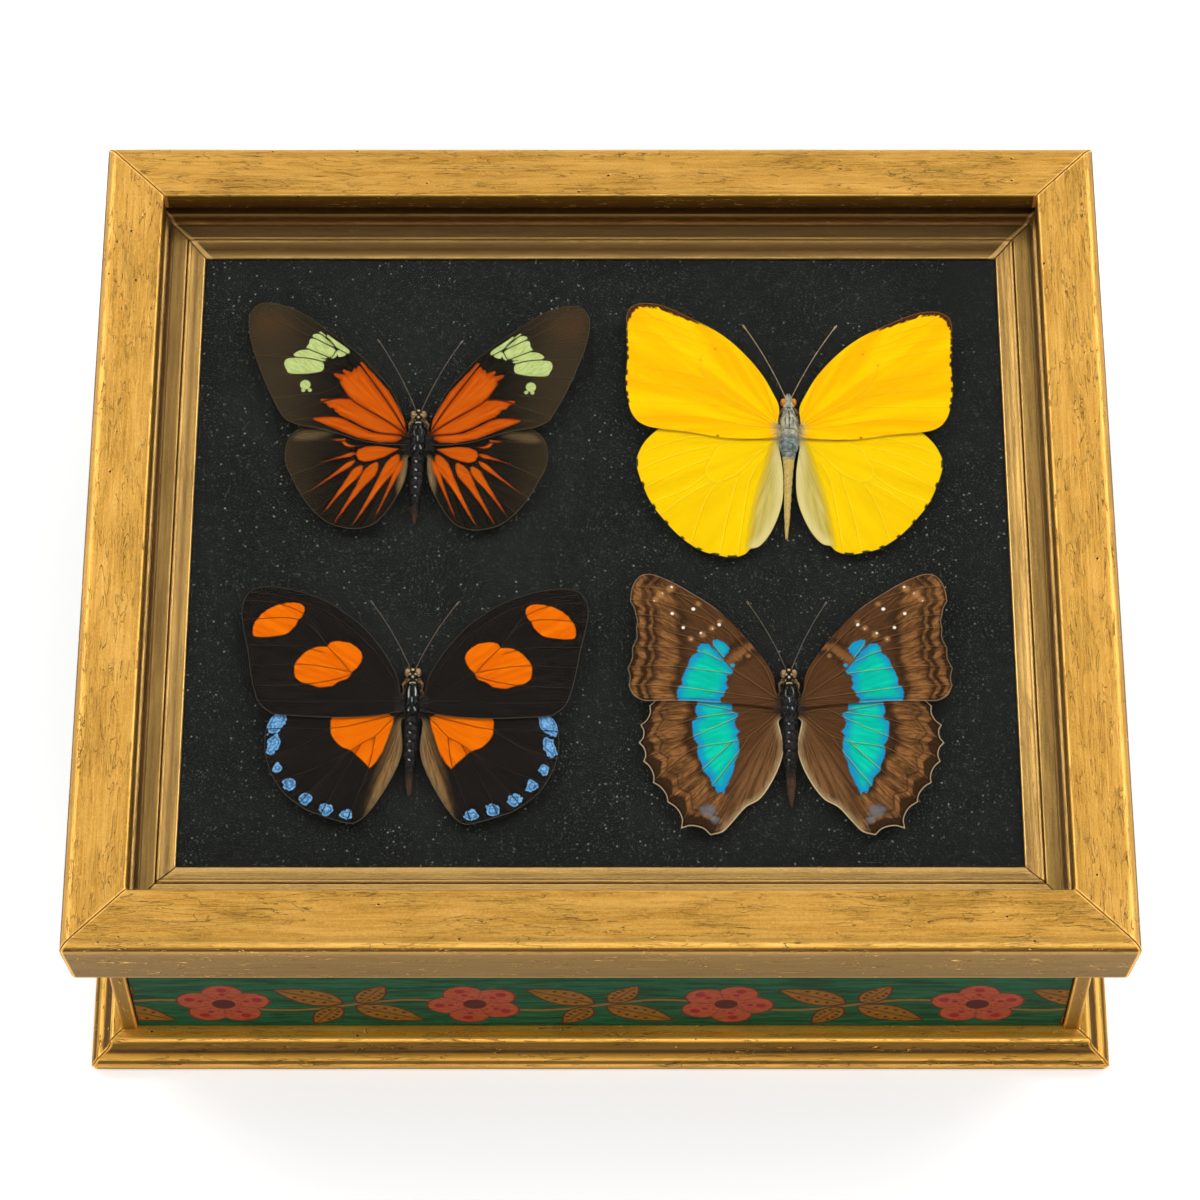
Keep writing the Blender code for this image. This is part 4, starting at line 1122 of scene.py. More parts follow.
SPOTTED_ORANGE_FORE = [
    [(35.4, 17.2), (35.7, 18.8), (35.2, 20.6), (34.4, 21.6), (33.8, 22.6), (32, 24.1), (30.2, 24.9), (28, 25.6),
     (26.1, 25.5), (24.8, 24.9), (24.4, 23.8), (25, 22), (25.8, 21.2), (26.4, 19.8), (28.2, 18), (30.2, 17.4),
     (33.1, 17)],
    [(26.2, 8.7), (26.1, 10.2), (25.1, 11.9), (23.5, 13.5), (21, 14.6), (19.2, 14.5), (18.4, 15.6), (16.6, 16),
     (14.2, 15.6), (12.5, 14.5), (11.4, 12.9), (11.5, 11.3), (12.5, 9.4), (13.4, 8.6), (13.8, 7.6), (14.4, 6.8),
     (16.8, 5.7), (17.4, 5), (20.3, 4.5), (22.2, 4.9), (22.9, 5.2), (24.8, 5.8), (25.9, 7.1)],
]
SPOTTED_ORANGE_HIND = [
    [(17.9, -3.3), (17.2, -1.4), (10, -0.8), (5.6, -1.4), (4, -2.4), (4.3, -4.4), (6.3, -10.8), (7.9, -13.7),
     (9.1, -14.9), (10.1, -13.5), (12.8, -10.9), (13.8, -10.3), (15.2, -9.7), (16.8, -8.1), (17.8, -6.3)],
]
SPOTTED_BLUE = [
    [(30.4, -0.6), (27.8, -0.8), (28.1, -4.9), (31.4, -7), (31.8, -6.3), (31.6, -3.4)],
    [(29.3, -6.6), (28.6, -8.6), (29.1, -10.5), (30.6, -12), (31.8, -11.1), (31.7, -9.2), (30.8, -7.4)],
    [(29.2, -13.3), (28.1, -14.2), (28, -15.3), (29, -16.1), (30.2, -15.6), (30.3, -14.1)],
    [(26.8, -17.2), (25.3, -18), (25.2, -19.6), (26.5, -20.5), (27.7, -19.4), (27.9, -17.9)],
    [(22.9, -20.6), (21.6, -21.4), (21.5, -22.9), (22.8, -23.9), (24.2, -23), (24.3, -21.4)],
    [(18.1, -23.2), (16.8, -24), (16.9, -25.6), (18.3, -26.3), (19.7, -25.4), (19.6, -23.9)],
    [(13.7, -24.7), (12.4, -25.4), (12.3, -26.8), (13.6, -27.5), (15.1, -26.9), (15.1, -25.5)],
]
SPOTTED_TAN = [
    [(2, -3.2), (1.4, -9.7), (2.4, -14.2), (5.4, -20.1), (9.6, -26.6), (9.2, -22), (7.6, -16.4), (5.6, -9.5),
     (4, -4.2)],
]
BANDED_TURQUOISE_FORE = [
    [(16.8, 16.1), (15.9, 16.5), (14.3, 15.9), (13, 14.5), (13.6, 13.2), (14.3, 11.9), (15.6, 13.4), (16.8, 15.1)],
    [(20.2, 14.5), (19.4, 15.4), (17.8, 15.4), (15.4, 12.8), (12.3, 8.7), (12.8, 7.9), (13.9, 7.6), (13.6, 6.5),
     (14.1, 5.6), (13.6, 4.6), (14.2, 3.7), (14.6, 2.6), (15.3, 2.2), (15.2, 1), (24.5, 1), (24.8, 3.3),
     (24.5, 4.4), (23.5, 5.2), (23.8, 6.5), (22.9, 8.7), (22.4, 9.7), (21.9, 11.6), (20.8, 12.8), (20.2, 13)],
]
BANDED_TURQUOISE_HIND = [
    [(20.2, 2), (12.8, 2), (12.7, -0.7), (11.3, -1.4), (12, -2.8), (12.3, -3.4), (11.9, -4.9), (11.1, -5.7),
     (11.9, -6.8), (11.2, -8.4), (11.4, -9.6), (11.2, -10.8), (12.3, -13.4), (12.6, -15.4), (13.3, -17.2),
     (15, -21), (15.7, -20.2), (16.2, -20.9), (16.8, -19.2), (17.3, -19.1), (17.8, -16.9), (19.2, -15.3),
     (19.5, -13.6), (20.2, -12.1), (20.5, -10.5), (20.2, -9.2), (21.4, -7), (21.5, -3.4), (20.2, -2.3),
     (20.8, -0.9)],
]
BANDED_FOLD = [
    [(1, -3), (0.4, -9.2), (1.2, -13), (3.4, -18.4), (6.4, -22.6), (9.8, -24.8), (12.4, -28), (15.8, -31.4),
     (15.4, -25.5), (13.4, -20.5), (9.6, -13.6), (6.2, -8.2), (3.6, -3.6)],
]
BANDED_GREY = [
    [(20, -24.4), (17.8, -23.7), (16.6, -24.6), (16.9, -26.2), (15.9, -27), (16.8, -28.1), (18.2, -26.6),
     (19.4, -25.9)],
]
BANDED_DOTS = [(25.8, 29.8, 0.42), (27.9, 28.1, 0.3), (29.7, 26.1, 0.3), (21, 24.1, 0.55), (25.7, 23, 0.5),
               (23.3, 19.4, 0.5), (15.3, 20.1, 0.5), (16.8, 19.1, 0.3), (19.4, 18, 0.42), (21.6, 16.5, 0.25)]
BANDED_TAN_DOTS = [(19.9, 25.4, 0.6), (15.2, 20.9, 0.5), (8.9, 12.6, 0.45), (16.9, 19.2, 0.6), (21.6, 16.6, 0.6),
                   (26.2, 29.2, 0.8), (28.4, 27.7, 0.8), (29.4, 26.5, 0.7), (19, 17.6, 0.7)]

MARKINGS = {
    ("rayed", "forewing"): {"first": (RAYED_ORANGE_FORE, False), "second": (RAYED_GREEN, True)},
    ("rayed", "hindwing"): {"first": (RAYED_ORANGE_HIND, False), "pale": (RAYED_TAN, True)},
    ("spotted", "forewing"): {"first": (SPOTTED_ORANGE_FORE, True)},
    ("spotted", "hindwing"): {
        "first": (SPOTTED_ORANGE_HIND, False),
        "second": (SPOTTED_BLUE, True),
        "pale": (SPOTTED_TAN, True),
    },
    ("banded", "forewing"): {"first": (BANDED_TURQUOISE_FORE, False)},
    ("banded", "hindwing"): {
        "first": (BANDED_TURQUOISE_HIND, False),
        "second": (BANDED_GREY, True),
        "pale": (BANDED_FOLD, True),
    },
    ("yellow", "hindwing"): {
        "pale": ([[(1, -2.4), (0.6, -9.8), (0.8, -15.8), (2.2, -21), (4.4, -26), (7, -29.2), (9.5, -29.6),
                   (8.9, -24), (7.8, -17.5), (5.9, -10.5), (3.6, -3)]], True),
    },
}
MARK_DOTS = {
    ("rayed", "forewing"): {"second": [(26.1, 15.8, 1.15), (25, 14.3, 0.42), (26.5, 14.3, 0.42)]},
    ("banded", "forewing"): {
        "first": [(12.4, 10.2, 0.5)],
        "dots": BANDED_DOTS,
        "halo": BANDED_TAN_DOTS,
    },
    ("yellow", "forewing"): {
        "dots": [(16.6, 22.1, 0.28), (20, 19.2, 0.26), (26.9, 17.5, 0.14), (31.5, 15.8, 0.12), (24.6, 14.9, 0.12),
                 (32.3, 18, 0.12), (35.6, 8.9, 0.14), (30.3, 9.6, 0.12), (33.4, 22.1, 0.1), (16.3, -0.3, 0.35)],
        "halo": [(36.9, y, 0.55) for y in (28.4, 26.2, 24.3, 22.2, 20, 16, 13.2, 10.4, 8.5)],
    },
    ("yellow", "hindwing"): {
        "halo": [(x + dx, y + dy, 0.34) for x, y, sx, sy in (
            (34.75, -7.3, 0, 1), (33.5, -13.3, 0.3, 1), (30.9, -18.6, 0.5, 0.85), (28.1, -22.6, 0.65, 0.75),
            (24.7, -26.6, 0.7, 0.7), (20.9, -29.4, 0.85, 0.5), (17.3, -30.75, 1, 0.25), (13.4, -31.2, 1, 0))
            for dx, dy in ((-0.6 * sx, 0.6 * sy), (-0.2 * sx, 0.2 * sy), (0.2 * sx, -0.2 * sy), (0.6 * sx, -0.6 * sy))],
    },
}
FIELD_NAMES = ("first", "second", "pale", "dots", "halo")


def wing_mesh(spec, wing, look):
    """A left wing's thin sheet round the midline, with the distances that its colours follow."""
    outline = margin_line(spec[wing], 0.55)
    bm = bmesh.new()
    bm.faces.new([bm.verts.new((point.x, point.y, 0.0)) for point in outline])
    slice_finely(bm, bm.verts[:] + bm.edges[:] + bm.faces[:], (0, 1), WING_CELL)
    raised = bmesh.ops.extrude_face_region(bm, geom=bm.faces[:])
    verts = [part for part in raised["geom"] if isinstance(part, bmesh.types.BMVert)]
    bmesh.ops.translate(bm, vec=(0, 0, look.wing_thickness / MM), verts=verts)
    mesh = to_mesh(bm, spec["name"] + "_" + wing)
    spots = spots_of(mesh)
    flat = spots[:, :2]
    fore = wing == "forewing"
    margin = line_distance(flat, [*outline, outline[0]])
    vein, vein_side = veins_distance(flat, spec["fore_veins" if fore else "hind_veins"])
    edge = line_distance(flat, smooth_line(spec["outer"][wing], 1.0)) if "outer" in spec else margin
    root = np.array([1.5, 1.2 if fore else -1.0])
    away = flat - root
    reach = np.linalg.norm(away, axis=1)
    angle = np.arctan2(away[:, 1], away[:, 0])
    for field in FIELD_NAMES:
        patches, rounded = MARKINGS.get((spec["name"], wing), {}).get(field, (FAR_AWAY, False))
        values = patch_distance(flat, patches, rounded)
        dots = MARK_DOTS.get((spec["name"], wing), {}).get(field)
        if dots:
            values = np.minimum(values, dot_distance(flat, dots))
        keep_field(mesh, field, values)
    keep_field(mesh, "margin", margin)
    keep_field(mesh, "edge", edge)
    keep_field(mesh, "vein", vein)
    keep_field(mesh, "vein_side", vein_side)
    keep_field(mesh, "flow", np.column_stack([angle * 22.0, reach, np.full(len(flat), 3.0 if fore else 8.0)]))
    keep_field(mesh, "flat", np.column_stack([flat, np.full(len(flat), 1.0 if fore else 0.0)]))
    sag = look.pleat_depth / MM * np.minimum(vein, VEIN_SPAN) / VEIN_SPAN * np.minimum(reach / 12.0, 1.0)
    wave = 0.16 * np.sin(flat[:, 0] * 0.31 + flat[:, 1] * 0.12) + 0.12 * np.sin(flat[:, 1] * 0.41 - 0.9)
    edge_curl = -0.22 * np.exp(-margin / 1.3)
    tip = WING_LIFT * (flat[:, 0] / WING_REACH) ** 2
    height = FOREWING_HEIGHT if fore else HINDWING_HEIGHT
    spots[:, 2] += height + tip - sag + (wave + edge_curl) * np.minimum(reach / 14.0, 1.0)
    move_spots(mesh, spots)
    return mesh


def set_wings(spec, finish, look):
    """The four wings of a specimen."""
    fits = {
        ("forewing", -1): (1.0, 1.0, 0.0),
        ("hindwing", -1): (1.0, 1.0, 0.0),
        ("forewing", 1): spec["right_fore"],
        ("hindwing", 1): spec["right_hind"],
    }
    for wing in ("forewing", "hindwing"):
        left = wing_mesh(spec, wing, look)
        for side, label in ((-1, "left"), (1, "right")):
            out, forward, turn = fits[(wing, side)]
            mesh = left.copy()
            mesh.name = spec["name"] + "_" + wing + "_" + label
            place = Matrix.Translation((*spec["centre"], BOARD_TOP))
            swing = Matrix.Rotation(math.radians(turn * side), 4, "Z")
            mesh.transform(place @ swing @ Matrix.Diagonal((side * out, forward, 1.0, 1.0)))
            if side < 0:
                mesh.flip_normals()
            show_part(mesh, finish, spec, 50.0)
        bpy.data.meshes.remove(left)


def body_stations(spec):
    """Smooth stations (y, half width, half height) from tail to head, with the abdomen's rings."""
    smooth = smooth_line(spec["body"], BODY_STEP)
    stations = []
    for y, half_width, half_height in (tuple(point) for point in smooth):
        swell = 1.0
        if y < WAIST:
            place = ((WAIST - y) / ABDOMEN_RING) % 1.0
            swell = 1.0 + 0.05 * place - 0.11 * math.exp(-((min(place, 1 - place) / 0.09) ** 2))
        elif y < 6.2:
            swell = 1.0 + 0.025 * math.sin(y * 2.1)
        stations.append((y, max(0.12, half_width * swell), max(0.12, half_height * swell)))
    return stations


def body_centre(spec, y, half_height):
    """Middle of the body at y, round the specimen's own origin."""
    tail = spec["body"][0][0]
    lean = spec["tail_shift"] * max(0.0, y / tail)
    droop = JOINT_GAP + half_height + 0.35
    return Vector((lean, y, min(BODY_AXIS, droop) if y < 0 else BODY_AXIS))


def show_part(mesh, finish, spec, smooth_angle):
    """Show a mesh in place of a specimen's node."""
    show(mesh.name, mesh, finish, spec["name"] + "_scales", [spec["name"] + "_butterfly"], smooth_angle)


def set_down(bm, part, spec, finish):
    """Show a mesh at a specimen's place, keeping its own coordinates in the field called local."""
    mesh = to_mesh(bm, spec["name"] + "_" + part)
    keep_field(mesh, "local", spots_of(mesh))
    mesh.transform(Matrix.Translation((*spec["centre"], BOARD_TOP)))
    show_part(mesh, finish, spec, 80.0)
    return mesh


def set_body(spec, finish):
    """Head, thorax, ringed abdomen and palps in one closed skin."""
    bm = bmesh.new()
    rings = []
    for y, half_width, half_height in body_stations(spec):
        rings.append((body_centre(spec, y, half_height), (0, 1, 0), half_width, half_height))
    tube(bm, rings, BODY_SIDES)
    bm.normal_update()
    for vert in bm.verts:
        y = vert.co.y
        ridge = noise.noise(Vector((vert.co.x * 1.4, y * 0.9, vert.co.z * 1.2 + 5.0)))
        vert.co += vert.normal * 0.09 * ridge
        if -1.5 < y < 5.5 and vert.co.z > BODY_AXIS:
            lobe = math.exp(-(((abs(vert.co.x) - 0.75) / 0.45) ** 2)) - 0.8 * math.exp(-((vert.co.x / 0.22) ** 2))
            vert.co.z += 0.16 * lobe * math.sin(math.pi * (y + 1.5) / 7.0)
    head = spec["head"]
    for side in (-1, 1):
        palp = [Vector((0.35 * side, head + 0.4, BODY_AXIS - 0.1)), Vector((0.42 * side, head + 1.4, BODY_AXIS + 0.15)),
                Vector((0.2 * side, head + 2.1, BODY_AXIS + 0.45))]
        tube(bm, [(spot, (0, 1, 0.2), r, r) for spot, r in zip(palp, (0.42, 0.36, 0.1))], 12)
    mesh = set_down(bm, "body", spec, finish)
    local = np.empty(len(mesh.vertices) * 3, np.float32)
    mesh.attributes["local"].data.foreach_get("vector", local)
    flat = local.reshape(-1, 3)[:, :2].astype(float)
    above = local.reshape(-1, 3)[:, 2] > BODY_AXIS - 0.9
    # On the dark bodies these strokes are painted highlights on the thorax and abdomen.
    streaks = [
        [(-0.72, 1.6), (-0.8, 3.0), (-0.55, 4.4)], [(0.72, 2.2), (0.78, 3.4), (0.55, 4.4)],
        [(-0.1, 0.6), (-0.1, 1.7)], [(-0.55, -0.6), (-0.75, -1.3)], [(0.5, -0.6), (0.7, -1.2)],
        [(-0.45, 5.6), (0.35, 5.6)], [(-0.45, -4.3), (-0.1, -4.6)], [(-0.5, -6.5), (-0.15, -6.8)],
        [(-0.5, -8.6), (-0.2, -8.9)], [(-0.5, -10.8), (-0.2, -11.1)], [(-0.5, -13.0), (-0.25, -13.2)],
    ]
    lines = [
        [(0.0, 6.9), (-0.9, 5.2), (-1.7, 4.0)], [(0.0, 6.9), (0.9, 5.2), (1.7, 4.0)],
        [(0.0, 5.9), (0.0, 1.2)], [(-0.85, 3.9), (-1.0, 1.8)], [(0.85, 3.9), (1.0, 1.8)],
        [(-2.2, 0.2), (-1.0, 0.9), (0.0, 0.75), (1.0, 0.9), (2.2, 0.2)],
        [(-1.7, -4.6), (0.0, -4.9), (1.7, -4.6)], [(-1.2, 7.2), (0.0, 6.7), (1.2, 7.2)],
    ]
    dots = [(-0.95, 6.6, 0.28), (0.95, 6.6, 0.28), (0.0, 7.2, 0.26), (0.0, 9.0, 0.3), (-0.5, 5.5, 0.2), (0.5, 5.5, 0.2),
            (-1.8, 5.3, 0.3), (1.8, 5.3, 0.3), (-0.6, 7.9, 0.2), (0.6, 7.9, 0.2)]
    drawn = streaks if spec["dark"] else lines
    streak = np.minimum.reduce([line_distance(flat, [Vector(p) for p in line]) for line in drawn])
    keep_field(mesh, "streak", np.where(above, streak, 9.0))
    keep_field(mesh, "dots", np.where(above, dot_distance(flat, dots), 9.0))


def set_eyes(spec, finish):
    """Two domed eyes at the sides of the head."""
    bm = bmesh.new()
    for side in (-1, 1):
        spot = Matrix.Translation((1.12 * side, spec["head"] - 0.1, BODY_AXIS + 0.25))
        shape = Matrix.Diagonal((0.82, 1.0, 0.95, 1.0))
        bmesh.ops.create_icosphere(bm, subdivisions=4, radius=0.95, matrix=spot @ shape)
    set_down(bm, "eyes", spec, finish)


def set_feelers(spec, finish):
    """Antennae with fine joints and a small club."""
    bm = bmesh.new()
    for side, (tip_x, tip_y) in zip((-1, 1), spec["feelers"]):
        start = Vector((0.45 * side, spec["head"] + 0.5, BODY_AXIS + 0.45))
        end = Vector((tip_x, tip_y, BODY_AXIS + 1.1))
        bow = Vector((-0.4 * side, 0.4, 0.25))
        rings = []
        for number in range(FEELER_JOINTS + 1):
            t = number / FEELER_JOINTS
            radius = FEELER_WIDTH + 0.008 * math.sin(number * 2.4) - 0.015 * math.sin(math.pi * t)
            if t > 0.93:
                radius += 0.13 * math.sin(math.pi * min(1.0, (t - 0.93) / 0.07) * 0.78) ** 1.3
            if number == FEELER_JOINTS:
                radius = 0.06
            rings.append((start.lerp(end, t) + bow * 4 * t * (1 - t), end - start, radius, radius))
        tube(bm, rings, 10)
    set_down(bm, "feelers", spec, finish)


def set_legs(spec, finish):
    """Folded legs showing beside the neck and thorax."""
    bm = bmesh.new()
    paths = (
        [(0.7, 6.7, 1.7), (1.7, 6.5, 1.9), (2.15, 5.9, 2.0), (2.05, 5.0, 1.5), (1.9, 3.9, 1.1)],
        [(0.9, 5.0, 1.6), (1.9, 4.4, 1.6), (2.35, 3.4, 1.5), (2.2, 2.4, 1.1), (2.0, 1.6, 0.9)],
        [(0.6, 7.1, 1.4), (1.3, 7.4, 1.5), (1.75, 7.0, 1.5), (1.8, 6.2, 1.2)],
    )
    for side in (-1, 1):
        for path in paths:
            points = smooth_line([(x * side, y, z) for x, y, z in path], 0.15)
            rings = []
            for number, spot in enumerate(points):
                ahead = points[min(number + 1, len(points) - 1)] - points[max(number - 1, 0)]
                share = number / (len(points) - 1)
                radius = 0.27 - 0.1 * share + 0.06 * math.exp(-(((share - 0.42) / 0.1) ** 2))
                rings.append((spot, ahead, radius, radius))
            tube(bm, rings, 10)
    set_down(bm, "legs", spec, finish)


def hair(bm, root, direction, length, thickness):
    """One tapering hair."""
    turn = direction.to_track_quat("Z", "Y").to_matrix().to_4x4()
    middle = Matrix.Translation(root + direction.normalized() * length * 0.5)
    bmesh.ops.create_cone(
        bm, cap_ends=True, segments=3, radius1=thickness, radius2=thickness * 0.15, depth=length, matrix=middle @ turn
    )


def set_hairs(spec, finish, look):
    """Short hairs over the thorax and longer ones lying over the wing roots."""
    draw = random.Random(spec["name"])
    bm = bmesh.new()
    stations = body_stations(spec)
    count = look.hair_count
    shown = [station for station in stations if -2.6 < station[0] < 7.6]
    for _ in range(count):
        y, half_width, half_height = draw.choice(shown)
        angle = math.radians(draw.uniform(5, 175))
        if 40 < math.degrees(angle) < 140 and draw.random() < 0.85:
            continue
        spot = body_centre(spec, y, half_height)
        spot += Vector((half_width * math.cos(angle), 0.0, half_height * math.sin(angle))) * 0.97
        outward = Vector((math.cos(angle) * 0.6, -0.9 + draw.uniform(-0.35, 0.35), math.sin(angle) * 0.55))
        outward += Vector((draw.uniform(-0.3, 0.3), 0.0, draw.uniform(-0.1, 0.2)))
        hair(bm, spot, outward, look.hair_length / MM * draw.uniform(0.5, 1.1), HAIR_WIDTH)
    for side in (-1, 1):
        for _ in range(count // 3):
            y = draw.uniform(-1.2, 2.2)
            spot = Vector((1.7 * side, y, draw.uniform(2.9, 3.5)))
            slope = (y - 0.4) * 0.22 + draw.uniform(-0.15, 0.15)
            outward = Vector((side, slope, draw.uniform(0.04, 0.14)))
            hair(bm, spot, outward, draw.uniform(0.9, 2.6), HAIR_WIDTH)
    set_down(bm, "hairs", spec, finish)


class WingFinish(Finish):
    """A wing material with the fields and noises that every specimen's colours use."""

    def __init__(self, name, roughness):
        super().__init__(name, Roughness=roughness, Specular_IOR_Level=0.0)
        self.flow = self.vector_field("flow")
        self.flat = self.vector_field("flat")
        self.here = self.place()
        self.margin = self.field("margin")
        self.edge = self.field("edge")
        self.vein = self.field("vein")
        self.vein_side = self.field("vein_side")
        beside = abs(self.vein_side)
        self.vein_line = beside.maths("MAXIMUM", beside, self.vein - 0.4)
        self.streak = self.cloud(self.stretch(self.flow, (1.1, 0.09, 1.0)), 1.0, 5.0, 0.6, 0.3)
        self.comb = self.cloud(self.stretch(self.flow, (3.6, 0.45, 1.0)), 1.0, 4.0, 0.6)
        self.dust = self.cloud(self.here, 2.6, 3.0, 0.7)
        self.blot = self.cloud(self.here, 0.16, 4.0, 0.6)

    def patch(self, name, jag, soft, grow=0.0):
        """Mask of a marking, with a combed edge."""
        edge = self.field(name) + (self.comb - 0.5) * jag + (self.dust - 0.5) * (jag * 0.45) - grow
        return 1.0 - self.ramp(edge, -soft, soft)

    def line(self, distance, width, soft):
        """Mask of a line where a distance is below a width."""
        return 1.0 - self.ramp(distance + (self.dust - 0.5) * 0.05, width, width + soft)

    def lit_side(self):
        """Mask of the lit flank of each vein."""
        return self.hump(self.vein_side, 0.17, 0.13) * (1.0 - self.ramp(self.vein, 0.35, 0.6))

    def blend_values(self, share, first, second):
        """Two numbers mixed."""
        return first * (1.0 - share) + second * share

    def capped(self, value, most):
        """A value held below a limit."""
        return value.maths("MINIMUM", value, most)

    def hump(self, value, centre, half):
        """A soft band round a value."""
        return 1.0 - self.ramp(abs(value - centre), half * 0.35, half)

    def close(self, colour, vein_height=0.6, folds=0.3):
        """Feed the colour, and the relief of veins, folds, streaks and scales."""
        self.feed("Base Color", colour)
        ridge = 1.0 - self.ramp(self.vein_line, 0.02, 0.3)
        self.relief(vein_height * ridge + 0.2 * self.comb + 0.14 * self.dust + folds * self.streak, 0.22)
        return self


def rayed_wings():
    """Black-brown with orange rays and pale green patches."""
    f = WingFinish("rayed_wing", 0.62)
    fore = f.part(f.flat, 2)
    out = f.part(f.flat, 0)
    black = linear(20, 18, 15)
    ground = f.mix(f.ramp(f.streak, 0.4, 0.7) * 0.7, black, linear(38, 31, 21))
    ground = f.mix(f.ramp(out, 18.0, 34.0) * 0.6, ground, linear(64, 52, 35))
    apex = f.node("ShaderNodeVectorMath", {"operation": "DISTANCE"}, {0: f.flat, 1: (35.0, 32.0, 1.0)}, "Value")
    smear = (1.0 - f.ramp(apex + (f.streak - 0.5) * 14.0, 0.0, 6.5)) * f.ramp(f.margin, 0.2, 2.5)
    ground = f.mix(smear * 0.28, ground, linear(92, 58, 32))
    ground = f.mix(f.line(f.vein_line, 0.03, 0.08) * f.ramp(out, 15.0, 24.0) * 0.5, ground, linear(86, 68, 48))
    ground = f.mix(f.line(f.vein_line, 0.05, 0.1) * (1.0 - f.ramp(out, 15.0, 24.0)) * 0.7, ground, linear(12, 10, 9))
    tan = f.mix(f.ramp(f.comb, 0.3, 0.7), linear(96, 74, 46), linear(156, 130, 88))
    ground = f.mix(f.patch("pale", 1.2, 0.8) * (0.75 - 0.45 * f.ramp(out, 8.0, 16.0)), ground, tan)
    ground = f.mix(f.line(f.margin, 0.05, 0.12) * 0.7, ground, linear(84, 70, 52))
    orange = f.mix(f.ramp(f.streak, 0.32, 0.7), linear(164, 64, 6), linear(200, 92, 10))
    orange = f.mix(f.ramp(f.comb, 0.5, 0.8) * 0.5, orange, linear(130, 46, 5))
    orange = f.mix(f.ramp(f.part(f.flow, 1), 5.0, 1.5) * 0.5, orange, linear(120, 44, 12))
    orange = f.mix(f.line(f.vein_line, 0.16, 0.1) * fore * 0.95, orange, black)
    green = f.mix(f.ramp(f.comb, 0.3, 0.7), linear(148, 164, 92), linear(184, 196, 128))
    green = f.mix(f.ramp(f.streak, 0.55, 0.75) * 0.5, green, linear(128, 142, 76))
    green = f.mix(f.line(f.vein_line, 0.08, 0.1) * 0.9, green, linear(48, 52, 28))
    rim = f.ramp(f.field("first") + (f.comb - 0.5) * 0.6, -0.45, 0.0)
    orange = f.mix(rim * 0.45, orange, linear(118, 34, 6))
    edge = f.field("first") + (f.comb - 0.5) * 0.6 + (f.dust - 0.5) * 0.2 - 0.3 * fore
    colour = f.mix(1.0 - f.ramp(edge, -0.12, 0.14), ground, orange)
    colour = f.mix(f.patch("second", 0.3, 0.1, 0.05), colour, green)
    return f.close(colour)


def yellow_wings():
    """Golden forewings and lemon hindwings with a thin ragged brown edge."""
    f = WingFinish("yellow_wing", 0.5)
    fore = f.part(f.flat, 2)
    forward = f.part(f.flat, 1)
    # Broad bands across the wing: in the colour they are painted light and shade of its ripples; the same noise raises
    # them in the bump.
    band = f.cloud(f.stretch(f.flow, (0.3, 0.03, 1.0)), 1.0, 2.0, 0.45, 0.35)
    gold = f.mix(f.ramp(band, 0.36, 0.64), linear(250, 190, 1), linear(238, 168, 1))
    lemon = f.mix(f.ramp(band, 0.36, 0.66), linear(228, 188, 3), linear(222, 178, 2))
    lemon = f.mix(f.ramp(f.streak, 0.5, 0.75) * 0.3, lemon, linear(236, 200, 8))
    colour = f.mix(fore, lemon, gold)
    colour = f.mix(f.ramp(f.comb, 0.5, 0.8) * 0.14, colour, linear(196, 132, 2))
    drawn = f.line(f.vein_line, 0.02, 0.1)
    colour = f.mix(drawn * (0.22 + 0.22 * fore), colour, linear(178, 116, 2))
    colour = f.mix(f.lit_side() * (0.38 - 0.18 * fore), colour, linear(252, 222, 62))
    fold = f.patch("pale", 0.7, 1.1)
    cream = f.mix(f.ramp(f.streak, 0.3, 0.7), linear(148, 134, 66), linear(186, 170, 98))
    cream = f.mix(f.ramp(f.margin, 0.3, 3.2), linear(196, 184, 126), cream)
    colour = f.mix(fold * 0.9, colour, cream)
    colour = f.mix(f.hump(f.field("pale"), 0.2, 1.1) * (1.0 - fore) * 0.3, colour, linear(150, 122, 24))
    root_reach = f.part(f.flow, 1) + (f.comb - 0.5) * 1.6
    colour = f.mix((1.0 - f.ramp(root_reach, 0.8, 3.4)) * 0.6, colour, linear(196, 184, 130))
    high = f.ramp(forward, 28.0, 32.0)
    costa = f.ramp(f.part(f.flat, 0), 16.0, 22.0)
    ragged = f.margin + (f.comb - 0.5) * 2.6 + (f.dust - 0.5) * 0.7
    reach = 0.95 * high + 0.15 * costa
    border = 1.0 - f.ramp(ragged, reach, reach + 0.25)
    border = border * fore * costa * f.ramp(forward, 22.0, 25.0)
    colour = f.mix(border, colour, f.mix(f.ramp(f.dust, 0.4, 0.6), linear(84, 44, 20), linear(52, 28, 20)))
    colour = f.mix(f.line(f.margin, 0.03, 0.1) * 0.5, colour, linear(176, 146, 60))
    near_edge = 1.0 - f.ramp(f.margin, 0.3, 0.5)
    dashes = f.patch("halo", 0.4, 0.1, 0.16) * near_edge
    colour = f.mix(dashes * 0.95, colour, linear(40, 34, 26))
    colour = f.mix(f.patch("dots", 0.12, 0.1) * 0.8, colour, linear(130, 70, 8))
    f.feed("Base Color", colour)
    f.relief(2.4 * band + 0.25 * drawn + 0.12 * f.comb + 0.1 * f.dust + 0.35 * f.streak, 0.3)
    return f


